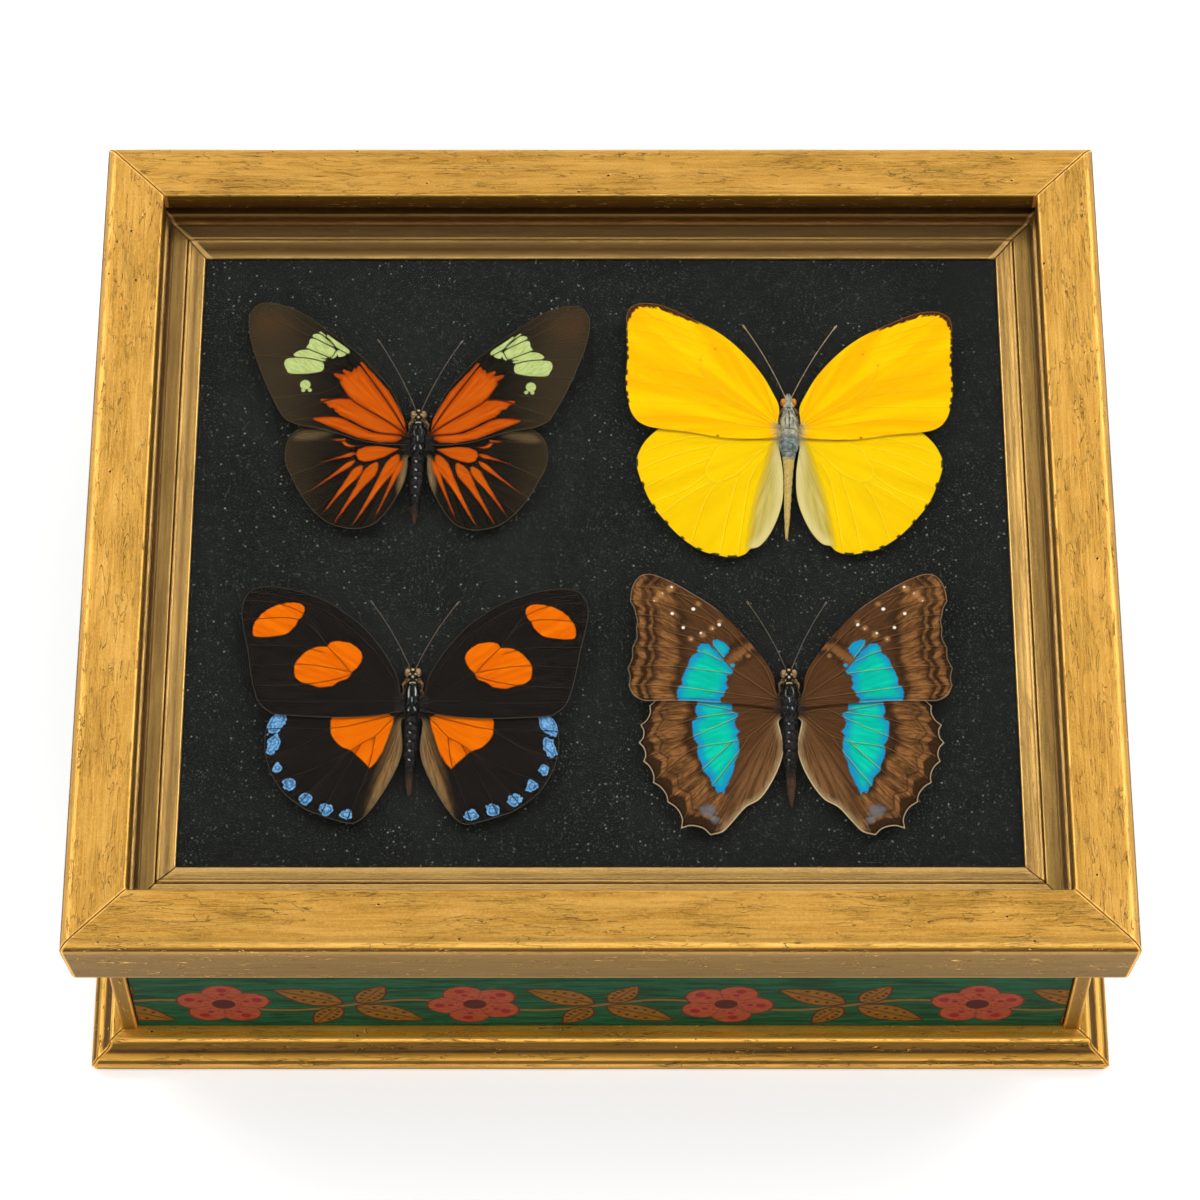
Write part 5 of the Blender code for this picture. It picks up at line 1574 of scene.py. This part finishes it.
def spotted_wings():
    """Black-brown with orange patches and a row of light blue spots."""
    f = WingFinish("spotted_wing", 0.6)
    black = linear(22, 19, 17)
    ground = f.mix(f.ramp(f.streak, 0.4, 0.72) * 0.6, black, linear(37, 30, 25))
    ground = f.mix(f.line(f.vein_line, 0.03, 0.08) * 0.4, ground, linear(70, 58, 46))
    ground = f.mix(f.line(f.margin, 0.05, 0.1) * 0.55, ground, linear(96, 86, 72))
    tan = f.mix(f.ramp(f.streak, 0.35, 0.65), linear(78, 56, 34), linear(144, 108, 64))
    tan = f.mix((1.0 - f.ramp(f.margin + (f.comb - 0.5) * 1.2, 0.1, 1.4)) * 0.6, tan, linear(158, 130, 90))
    tan = f.mix(f.ramp(f.comb, 0.55, 0.75) * 0.5, tan, linear(48, 34, 22))
    ground = f.mix(f.patch("pale", 2.0, 1.7, -0.7) * 0.92, ground, tan)
    orange = f.mix(f.ramp(f.streak, 0.35, 0.68), linear(204, 88, 1), linear(222, 110, 3))
    orange = f.mix(f.ramp(f.comb, 0.5, 0.8) * 0.4, orange, linear(184, 74, 1))
    orange = f.mix(f.line(f.vein_line, 0.06, 0.08) * 0.85, orange, linear(58, 24, 6))
    wander = f.cloud(f.here, 0.75, 2.0, 0.5)
    spot = f.field("second") + (wander - 0.5) * 1.7 + 0.1
    blue = f.mix(f.ramp(f.cloud(f.here, 1.6, 2.0), 0.4, 0.62), linear(84, 134, 180), linear(118, 168, 210))
    blue = f.mix(f.hump(spot, -0.55, 0.26) * 0.65, blue, linear(30, 58, 92))
    blue = f.mix(f.line(abs(wander - 0.47) * 6.0, 0.05, 0.16) * 0.6, blue, linear(28, 50, 78))
    blue = f.mix(f.line(f.vein_line, 0.08, 0.1) * 0.85, blue, linear(20, 32, 46))
    colour = f.mix(f.patch("first", 0.75, 0.14), ground, orange)
    colour = f.mix(1.0 - f.ramp(spot + (f.dust - 0.5) * 0.2, -0.08, 0.08), colour, blue)
    return f.close(colour)


def banded_wings():
    """Brown with wavy combed bands, a turquoise band and pale scalloped edges."""
    f = WingFinish("banded_wing", 0.6)
    fore = f.part(f.flat, 2)
    hind = 1.0 - fore
    out = f.part(f.flat, 0)
    forward = f.part(f.flat, 1)
    reach = f.part(f.flow, 1)
    scallop = f.capped(f.vein, 2.4) * f.blend_values(fore, 0.7, 0.4)
    across = f.edge - scallop + (f.comb - 0.5) * 1.3 + (f.blot - 0.5) * 2.4
    base = f.mix(f.ramp(f.streak, 0.35, 0.7), linear(66, 42, 24), linear(88, 57, 32))
    dark = linear(44, 28, 17)
    copper = f.mix(f.ramp(f.comb, 0.34, 0.66), linear(100, 64, 34), linear(156, 106, 58))
    sheen = 0.35 + 0.65 * f.ramp(f.streak, 0.38, 0.6)
    colour = f.mix((1.0 - f.ramp(across, 9.5, 13.0)) * 0.85, base, dark)
    colour = f.mix(f.hump(across, f.blend_values(fore, 2.5, 1.3), 1.1) * sheen * 0.9, colour, copper)
    colour = f.mix(f.hump(across, f.blend_values(fore, 4.0, 3.6), 0.6) * sheen * 0.6, colour, copper)
    colour = f.mix(f.hump(across, f.blend_values(fore, 6.6, 7.2), 3.1) * sheen * 0.85, colour, copper)
    apex = f.ramp(forward, 22.0, 29.0) * f.ramp(out, 18.0, 25.0) * fore
    colour = f.mix(apex * f.ramp(f.streak, 0.42, 0.62) * 0.4, colour, linear(122, 82, 48))
    inner = reach + (f.comb - 0.5) * 3.0 + (f.blot - 0.5) * 4.0
    costal = f.ramp(forward, 8.0, 12.0) * fore
    colour = f.mix(f.hump(inner, 13.2, 1.1) * costal * 0.75, colour, dark)
    colour = f.mix(f.hump(inner, 15.3, 1.3) * costal * 0.6, colour, copper)
    colour = f.mix(f.hump(inner, 17.6, 1.1) * costal * 0.75, colour, dark)
    fold = f.patch("pale", 1.8, 1.6)
    fold_tone = f.mix(f.ramp(f.streak, 0.35, 0.65), linear(68, 44, 25), linear(118, 82, 48))
    fold_tone = f.mix(f.ramp(f.comb, 0.55, 0.8) * 0.35, fold_tone, linear(62, 38, 20))
    colour = f.mix(fold * 0.8, colour, fold_tone)
    cream = (1.0 - f.ramp(f.margin + (f.comb - 0.5) * 2.2, 0.1, 1.6)) * fold * hind
    colour = f.mix(cream * 0.6, colour, linear(168, 142, 104))
    colour = f.mix(f.line(f.margin, 0.12, 0.2) * fold * hind * 0.85, colour, linear(196, 176, 136))
    grey = f.patch("second", 1.8, 0.6)
    colour = f.mix(grey * 0.6, colour, linear(98, 108, 116))
    colour = f.mix(f.line(f.vein_line, 0.03, 0.09) * 0.7, colour, linear(40, 25, 15))
    colour = f.mix(f.lit_side() * 0.4, colour, linear(132, 98, 52))
    inside = f.ramp(f.field("first") * -1.0 + (f.comb - 0.5) * 1.2 + (f.blot - 0.5) * 3.0, 0.1, 2.4)
    shine = f.mix(f.ramp(f.streak, 0.38, 0.7), linear(2, 164, 142), linear(14, 192, 160))
    turquoise = f.mix(inside, linear(22, 128, 172), shine)
    turquoise = f.mix(f.ramp(f.comb, 0.5, 0.8) * 0.3, turquoise, linear(2, 118, 128))
    turquoise = f.mix(f.line(f.vein_line, 0.03, 0.08) * 0.75, turquoise, linear(24, 74, 56))
    turquoise = f.mix(f.lit_side() * 0.75, turquoise, linear(128, 160, 70))
    colour = f.mix(f.patch("first", 1.1, 0.16), colour, turquoise)
    colour = f.mix(f.patch("halo", 0.9, 0.4) * 0.7, colour, linear(164, 116, 66))
    colour = f.mix(f.patch("dots", 0.2, 0.12, -0.12), colour, linear(228, 222, 206))
    outer = f.ramp(out, 14.0, 17.0)
    pale_edge = f.line(f.margin, 0.12, 0.12) * outer
    colour = f.mix(pale_edge * (0.3 + 0.6 * hind), colour, linear(176, 154, 122))
    inner_line = f.hump(f.margin, 0.5, 0.22) * outer
    colour = f.mix(inner_line * (0.35 + 0.5 * hind), colour, linear(30, 19, 14))
    return f.close(colour)


def body_finish(spec):
    """Chitin and scales: glossy and dark with pale streaks that are painted highlights, or pale and furry with dark
    lines.
    """
    dark = spec["dark"]
    f = Finish(spec["name"] + "_skin", Specular_IOR_Level=0.12)
    local = f.vector_field("local")
    forward = f.part(local, 1)
    pile = f.cloud(f.stretch(local, (5.0, 1.6, 5.0)), 1.0, 4.0, 0.65)
    mottle = f.cloud(local, 0.9, 4.0, 0.6)
    behind = 1.0 - f.ramp(forward, -3.2, -1.8)
    streak = 1.0 - f.ramp(f.field("streak") + (pile - 0.5) * 0.2, 0.04, 0.24)
    dots = 1.0 - f.ramp(f.field("dots") + (pile - 0.5) * 0.15, -0.05, 0.12)
    if dark:
        tone = f.mix(f.ramp(mottle, 0.4, 0.65), linear(7, 7, 7), linear(20, 19, 19))
        tone = f.mix(behind * 0.5, tone, linear(20, 17, 15))
        tail = 1.0 - f.ramp(forward + (mottle - 0.5) * 2.0, -19.5, -15.0)
        tone = f.mix(tail * 0.7, tone, linear(74, 50, 30))
        # Painted highlights along the streaks of the glossy dark body.
        tone = f.mix(streak * 0.9, tone, linear(186, 188, 182))
        tone = f.mix(dots * 0.9, tone, linear(190, 158, 104))
        gloss = 0.16 + 0.16 * pile
    else:
        pale = f.mix(f.ramp(mottle, 0.35, 0.6), linear(188, 182, 148), linear(126, 126, 114))
        blue_grey = f.mix(f.ramp(mottle, 0.35, 0.65), linear(132, 140, 134), linear(74, 82, 82))
        yellow = f.mix(f.ramp(pile, 0.35, 0.7), linear(198, 172, 100), linear(152, 124, 62))
        middle = 1.0 - f.ramp(forward + (mottle - 0.5) * 0.8, -1.2, -0.2)
        behind = 1.0 - f.ramp(forward + (mottle - 0.5) * 0.8, -6.6, -5.8)
        tone = f.mix(behind, f.mix(middle, pale, blue_grey), yellow)
        tone = f.mix(streak * 0.9, tone, linear(30, 29, 26))
        tone = f.mix(dots * (0.8 * behind), tone, linear(48, 46, 40))
        gloss = 0.6 + 0.25 * pile
    f.feed("Base Color", tone)
    f.feed("Roughness", gloss)
    f.relief(pile + 0.4 * mottle, 0.04 if dark else 0.12)
    return f


def skin_finish(name, pale, dark, roughness):
    """Small parts mottled between two colours."""
    f = Finish(name, Specular_IOR_Level=0.45)
    here = f.place()
    mottle = f.cloud(here, 2.2, 3.0, 0.6)
    f.feed("Base Color", f.mix(f.ramp(mottle, 0.38, 0.64), dark, pale))
    f.feed("Roughness", roughness + 0.2 * mottle)
    f.relief(mottle, 0.05)
    return f


def eye_finish(name, colour, ring):
    """Glossy eye with a paler ring."""
    f = Finish(name, Specular_IOR_Level=0.3, Coat_Weight=0.2, Coat_Roughness=0.08)
    local = f.vector_field("local")
    facets = f.cells(local, 9.0)
    side = abs(f.part(local, 0))
    bars = f.ramp(abs(f.cloud(f.stretch(local, (1.2, 0.5, 1.2)), 1.6, 1.0) - 0.5), 0.02, 0.07)
    tone = f.mix(bars * (1.0 - f.ramp(side, 1.45, 1.75)), colour, ring)
    f.feed("Base Color", f.mix(f.ramp(facets, 0.2, 0.7) * 0.4, tone, tuple(0.4 * c for c in colour)))
    f.feed("Roughness", 0.16 + 0.3 * facets)
    f.relief(facets, 0.02)
    return f


def specimen(spec, wings, look):
    """One butterfly: wings, body, eyes, feelers, legs and hairs."""
    name = spec["name"]
    tan = skin_finish(name + "_leg", linear(170, 126, 70), linear(70, 46, 26), 0.5)
    if spec["dark"]:
        horn = skin_finish(name + "_horn", linear(112, 92, 68), linear(58, 46, 34), 0.45)
        eye = eye_finish(name + "_eye", linear(96, 66, 42), linear(190, 152, 104))
        fur = skin_finish(name + "_fur", linear(60, 54, 46), linear(18, 16, 14), 0.6)
    else:
        horn = skin_finish(name + "_horn", linear(196, 168, 126), linear(120, 98, 68), 0.45)
        eye = eye_finish(name + "_eye", linear(176, 98, 8), linear(226, 150, 30))
        fur = skin_finish(name + "_fur", linear(206, 198, 164), linear(130, 124, 102), 0.7)
    set_wings(spec, wings, look)
    set_body(spec, body_finish(spec))
    set_eyes(spec, eye)
    set_feelers(spec, horn)
    set_legs(spec, tan)
    set_hairs(spec, fur, look)


# The stage


def set_floor(look):
    """The pale floor."""
    bm = bmesh.new()
    bmesh.ops.create_grid(bm, x_segments=1, y_segments=1, size=FLOOR_REACH)
    bmesh.ops.translate(bm, vec=(0.0, 0.0, -FLOOR_DROP), verts=bm.verts)
    mesh = to_mesh(bm, "floor")
    paper = Finish("floor_paper", Roughness=0.9, Specular_IOR_Level=0.1, Emission_Strength=look.floor_glow)
    paper.feed("Emission_Color", (1.0, 1.0, 1.0))
    bright = tuple(look.floor_colour)
    shade = paper.cloud(paper.place(), 0.004, 2.0)
    paper.feed("Base Color", paper.mix(shade, tuple(0.985 * channel for channel in bright), bright))
    mesh.materials.append(paper.material)
    floor = bpy.data.objects.new("floor", mesh)
    bpy.context.scene.collection.objects.link(floor)


def studio_sky(strength):
    """Soft light from all round, dimmer overhead so that the glass stays clear."""
    world = bpy.data.worlds.new("studio")
    sky = Nodes(world)
    dome = sky.node("ShaderNodeTexCoord", output="Generated")
    rise = {"Value": sky.part(dome, 2), "From Min": -0.2, "From Max": 0.9, "To Min": 0.8, "To Max": 1.1}
    fade = sky.node("ShaderNodeMapRange", None, rise)
    toward = sky.node("ShaderNodeVectorMath", {"operation": "DOT_PRODUCT"}, {0: dome, 1: (0.0, -0.2, 0.98)}, "Value")
    background = sky.tree.nodes["Background"]
    tint = sky.mix(fade, (0.9, 0.92, 0.96), (1.0, 1.0, 1.0))
    brightness = fade * sky.ramp(toward, 0.88, 0.98, strength, 0.3 * strength)
    sky.tree.links.new(tint.socket, background.inputs["Color"])
    sky.tree.links.new(brightness.socket, background.inputs["Strength"])
    return world


# Settings


def colour_property(name, description, colour):
    """A colour setting whose default is a display colour."""
    return bpy.props.FloatVectorProperty(
        name=name, description=description, subtype="COLOR", size=3, min=0.0, max=1.0, default=linear(*colour)
    )


def number_property(name, description, default, most=1.0, least=0.0, **settings):
    """A number setting between two limits."""
    return bpy.props.FloatProperty(name=name, description=description, default=default, min=least, max=most, **settings)


def fine_property(name, description, default, most, least=0.0):
    """A small length setting, given here in millimetres."""
    return number_property(name, description, default * MM, most * MM, least * MM, precision=5, unit="LENGTH")


class CaseLook(bpy.types.PropertyGroup):
    """Colours and wear of the case."""

    gilt_bright: colour_property("Bright gilt", "Gilding where it catches the light", (226, 172, 80))
    gilt_colour: colour_property("Gilt", "Body colour of the gilding", (206, 149, 58))
    # The matt colour also gives the painted shade on upright faces, and the groove colour the painted shade in the
    # deepest hollows.
    gilt_matt: colour_property("Matt gilt", "Dull gilding on the upright faces", (138, 103, 30))
    gilt_groove: colour_property("Grooves", "Dirt in grooves, cracks and pin holes", (84, 50, 5))
    gilt_wear: number_property("Gilt wear", "Strength of the cracks and pin holes", 1.0)
    gilt_roughness: number_property("Gilt roughness", "Roughness of the gilding", 0.3)
    gilt_relief: fine_property("Gilt relief", "Depth of the grain and pits in the gilding", 0.16, 1.0)
    # The bright liner colour also gives the painted highlights on the liner's beads and edges.
    liner_bright: colour_property("Bright liner", "Rubbed edges of the liner", (190, 148, 76))
    liner_colour: colour_property("Liner", "Bronze body colour of the liner", (150, 114, 58))
    paint_colour: colour_property("Paint", "Green ground of the body panels", (7, 62, 34))
    leaf_colour: colour_property("Leaves", "Painted leaves on the front", (126, 80, 20))
    blossom_colour: colour_property("Blossoms", "Painted blossoms on the front", (150, 66, 40))
    board_colour: colour_property("Board", "Card behind the specimens", (23, 24, 22))
    glass_roughness: number_property("Glass roughness", "Roughness of the pane", 0.02)


class SpecimenLook(bpy.types.PropertyGroup):
    """Thickness, pleats and hairs of the butterflies."""

    wing_thickness: fine_property("Wing thickness", "Thickness of a wing", 0.15, 0.5, 0.05)
    pleat_depth: fine_property("Pleat depth", "How far the membrane sags between veins", 0.2, 0.6)
    hair_length: fine_property("Hair length", "Longest hair on a body", 1.3, 3.0, 0.2)
    hair_count: bpy.props.IntProperty(
        name="Hair count", description="Hairs on each body", default=320, min=50, max=3000
    )


class StageLook(bpy.types.PropertyGroup):
    """Floor and lights."""

    floor_colour: colour_property("Floor", "Plain pale floor", (246, 246, 245))
    floor_glow: number_property("Floor glow", "Light that keeps the floor near white", 0.42)
    sky_strength: number_property("Sky strength", "Brightness of the light from all round", 0.74, 5.0)
    key_power: number_property("Key power", "Power of the soft light on the left", 3.4, 100.0, unit="POWER")
    fill_power: number_property("Fill power", "Power of the soft light on the right", 3.9, 100.0, unit="POWER")
    front_power: number_property("Front power", "Power of the soft light in front", 2.8, 100.0, unit="POWER")
    light_size: number_property("Light size", "Width of each soft light", 0.6, 3.0, 0.01, unit="LENGTH")


def liner_sides(section):
    """The liner's section for the side rails, a little narrower than the front and back ones."""
    return [(TRAY_INSET + (inset - TRAY_INSET) * LINER_SIDE_RATIO, height, tone) for inset, height, tone in section]


class SHADOW_BOX_OT_lid(bpy.types.Operator):
    """Add the four gilt lid rails"""

    bl_idname = "shadow_box.add_lid"
    bl_label = "Lid rails"
    bl_options = {"REGISTER", "UNDO"}

    def execute(self, context):
        look = context.scene.shadow_box_case
        finish = gilt_finish("lid_gilt", look, *gilt_colours(look))
        section = finer(lid_profile())
        rail_frame("lid_moulding", "lid_rail", section, section, finish, "gilt", 1)
        return {"FINISHED"}


class SHADOW_BOX_OT_liner(bpy.types.Operator):
    """Add the four bronze-gold liner rails under the glass"""

    bl_idname = "shadow_box.add_liner"
    bl_label = "Liner rails"
    bl_options = {"REGISTER", "UNDO"}

    def execute(self, context):
        look = context.scene.shadow_box_case
        bronze = tuple(look.liner_colour)
        dull = tuple(0.6 * channel for channel in bronze)
        finish = gilt_finish("liner_bronze", look, tuple(look.liner_bright), bronze, dull, 0.1, 0.4, 0.15)
        section = finer(liner_profile())
        rail_frame("liner_moulding", "liner", section, liner_sides(section), finish, "liner_gilt", 11, LINER_PAINTED_LIGHT)
        return {"FINISHED"}


class SHADOW_BOX_OT_body(bpy.types.Operator):
    """Add the gilt corner posts and the painted walls"""

    bl_idname = "shadow_box.add_body"
    bl_label = "Posts and walls"
    bl_options = {"REGISTER", "UNDO"}

    def execute(self, context):
        look = context.scene.shadow_box_case
        gilt = gilt_finish("post_gilt", look, *map(deeper, gilt_colours(look)))
        reach_x = LID_WIDTH / 2 - BODY_INSET - POST_WIDTH / 2
        reach_y = LID_DEPTH / 2 - BODY_INSET - POST_WIDTH / 2
        for number, (face, y) in enumerate((("front", -reach_y), ("back", reach_y))):
            for step, (side, x) in enumerate((("left", -reach_x), ("right", reach_x))):
                corner_post("gilt_post_" + face + "_" + side, x, y, gilt, 2 * number + step)
        front_panel(paint_finish("painted_front", look, True))
        coat(["wall_back"], paint_finish("back_paint", look, False))
        coat(["wall_left", "wall_right"], paint_finish("side_paint", look, False, (5.5, 1.0)))
        return {"FINISHED"}


class SHADOW_BOX_OT_plinth(bpy.types.Operator):
    """Add the four gilt plinth rails"""

    bl_idname = "shadow_box.add_plinth"
    bl_label = "Plinth rails"
    bl_options = {"REGISTER", "UNDO"}

    def execute(self, context):
        look = context.scene.shadow_box_case
        finish = gilt_finish("plinth_gilt", look, *map(deeper, gilt_colours(look)), metallic=0.45)
        section = finer(plinth_profile())
        rail_frame("plinth_moulding", "plinth", section, section, finish, "gilt", 21)
        return {"FINISHED"}


class SHADOW_BOX_OT_boards(bpy.types.Operator):
    """Give the glass and the boards their materials"""

    bl_idname = "shadow_box.coat_boards"
    bl_label = "Glass and boards"
    bl_options = {"REGISTER", "UNDO"}

    def execute(self, context):
        look = context.scene.shadow_box_case
        coat(["glass_pane"], clear_glass_finish(look.glass_roughness))
        coat(["backing_board"], board_finish(tuple(look.board_colour)))
        coat(["base_board"], bare_wood_finish())
        return {"FINISHED"}


class SHADOW_BOX_OT_rayed(bpy.types.Operator):
    """Add the black butterfly with orange rays and pale green patches"""

    bl_idname = "shadow_box.add_rayed_butterfly"
    bl_label = "Rayed butterfly"
    bl_options = {"REGISTER", "UNDO"}

    def execute(self, context):
        specimen(RAYED, rayed_wings(), context.scene.shadow_box_specimens)
        return {"FINISHED"}


class SHADOW_BOX_OT_yellow(bpy.types.Operator):
    """Add the plain yellow butterfly"""

    bl_idname = "shadow_box.add_yellow_butterfly"
    bl_label = "Yellow butterfly"
    bl_options = {"REGISTER", "UNDO"}

    def execute(self, context):
        specimen(YELLOW, yellow_wings(), context.scene.shadow_box_specimens)
        return {"FINISHED"}


class SHADOW_BOX_OT_spotted(bpy.types.Operator):
    """Add the black butterfly with orange patches and blue spots"""

    bl_idname = "shadow_box.add_spotted_butterfly"
    bl_label = "Spotted butterfly"
    bl_options = {"REGISTER", "UNDO"}

    def execute(self, context):
        specimen(SPOTTED, spotted_wings(), context.scene.shadow_box_specimens)
        return {"FINISHED"}


class SHADOW_BOX_OT_banded(bpy.types.Operator):
    """Add the brown butterfly with the turquoise band"""

    bl_idname = "shadow_box.add_banded_butterfly"
    bl_label = "Banded butterfly"
    bl_options = {"REGISTER", "UNDO"}

    def execute(self, context):
        specimen(BANDED, banded_wings(), context.scene.shadow_box_specimens)
        return {"FINISHED"}


class SHADOW_BOX_OT_stage(bpy.types.Operator):
    """Add the floor, the camera and the lights"""

    bl_idname = "shadow_box.add_stage"
    bl_label = "Stage"
    bl_options = {"REGISTER", "UNDO"}

    def execute(self, context):
        look = context.scene.shadow_box_stage
        set_floor(look)
        context.scene.world = studio_sky(look.sky_strength)
        for name, power in (("key", look.key_power), ("fill", look.fill_power), ("front", look.front_power)):
            light = bpy.data.lights.new(name, "AREA")
            light.energy = power
            light.size = look.light_size
            lamp = bpy.data.objects.new(name, light)
            lamp.location = LAMP_SPOTS[name]
            lamp.rotation_euler = (LAMP_AIM - lamp.location).to_track_quat("-Z", "Y").to_euler()
            context.scene.collection.objects.link(lamp)

        camera = bpy.data.objects.new("camera", bpy.data.cameras.new("camera"))
        camera.data.lens = CAMERA_LENS
        camera.data.sensor_width = CAMERA_SENSOR
        camera.data.clip_start = 0.01
        camera.location = CAMERA_SPOT
        camera.rotation_euler = (math.radians(CAMERA_TILT), 0.0, 0.0)
        context.scene.collection.objects.link(camera)
        context.scene.camera = camera
        context.scene.view_settings.view_transform = "Standard"
        return {"FINISHED"}


class SHADOW_BOX_PT_panel(bpy.types.Panel):
    """Buttons that build the shadow box"""

    bl_label = "Shadow Box"
    bl_idname = "SHADOW_BOX_PT_panel"
    bl_space_type = "VIEW_3D"
    bl_region_type = "UI"
    bl_category = "Shadow Box"

    def draw(self, context):
        for operator in OPERATORS:
            self.layout.operator(operator.bl_idname)


LOOKS = {"shadow_box_case": CaseLook, "shadow_box_specimens": SpecimenLook, "shadow_box_stage": StageLook}
OPERATORS = (
    SHADOW_BOX_OT_lid,
    SHADOW_BOX_OT_liner,
    SHADOW_BOX_OT_body,
    SHADOW_BOX_OT_plinth,
    SHADOW_BOX_OT_boards,
    SHADOW_BOX_OT_rayed,
    SHADOW_BOX_OT_yellow,
    SHADOW_BOX_OT_spotted,
    SHADOW_BOX_OT_banded,
    SHADOW_BOX_OT_stage,
)


def register():
    for name, look in LOOKS.items():
        bpy.utils.register_class(look)
        setattr(bpy.types.Scene, name, bpy.props.PointerProperty(type=look))
    for cls in (*OPERATORS, SHADOW_BOX_PT_panel):
        bpy.utils.register_class(cls)


def unregister():
    for cls in reversed((*OPERATORS, SHADOW_BOX_PT_panel)):
        bpy.utils.unregister_class(cls)
    for name, look in LOOKS.items():
        delattr(bpy.types.Scene, name)
        bpy.utils.unregister_class(look)


def main():
    """Build every piece and the stage."""
    register()
    bpy.ops.shadow_box.add_lid()
    bpy.ops.shadow_box.add_liner()
    bpy.ops.shadow_box.add_body()
    bpy.ops.shadow_box.add_plinth()
    bpy.ops.shadow_box.coat_boards()
    bpy.ops.shadow_box.add_rayed_butterfly()
    bpy.ops.shadow_box.add_yellow_butterfly()
    bpy.ops.shadow_box.add_spotted_butterfly()
    bpy.ops.shadow_box.add_banded_butterfly()
    bpy.ops.shadow_box.add_stage()


if __name__ == "__main__":
    main()
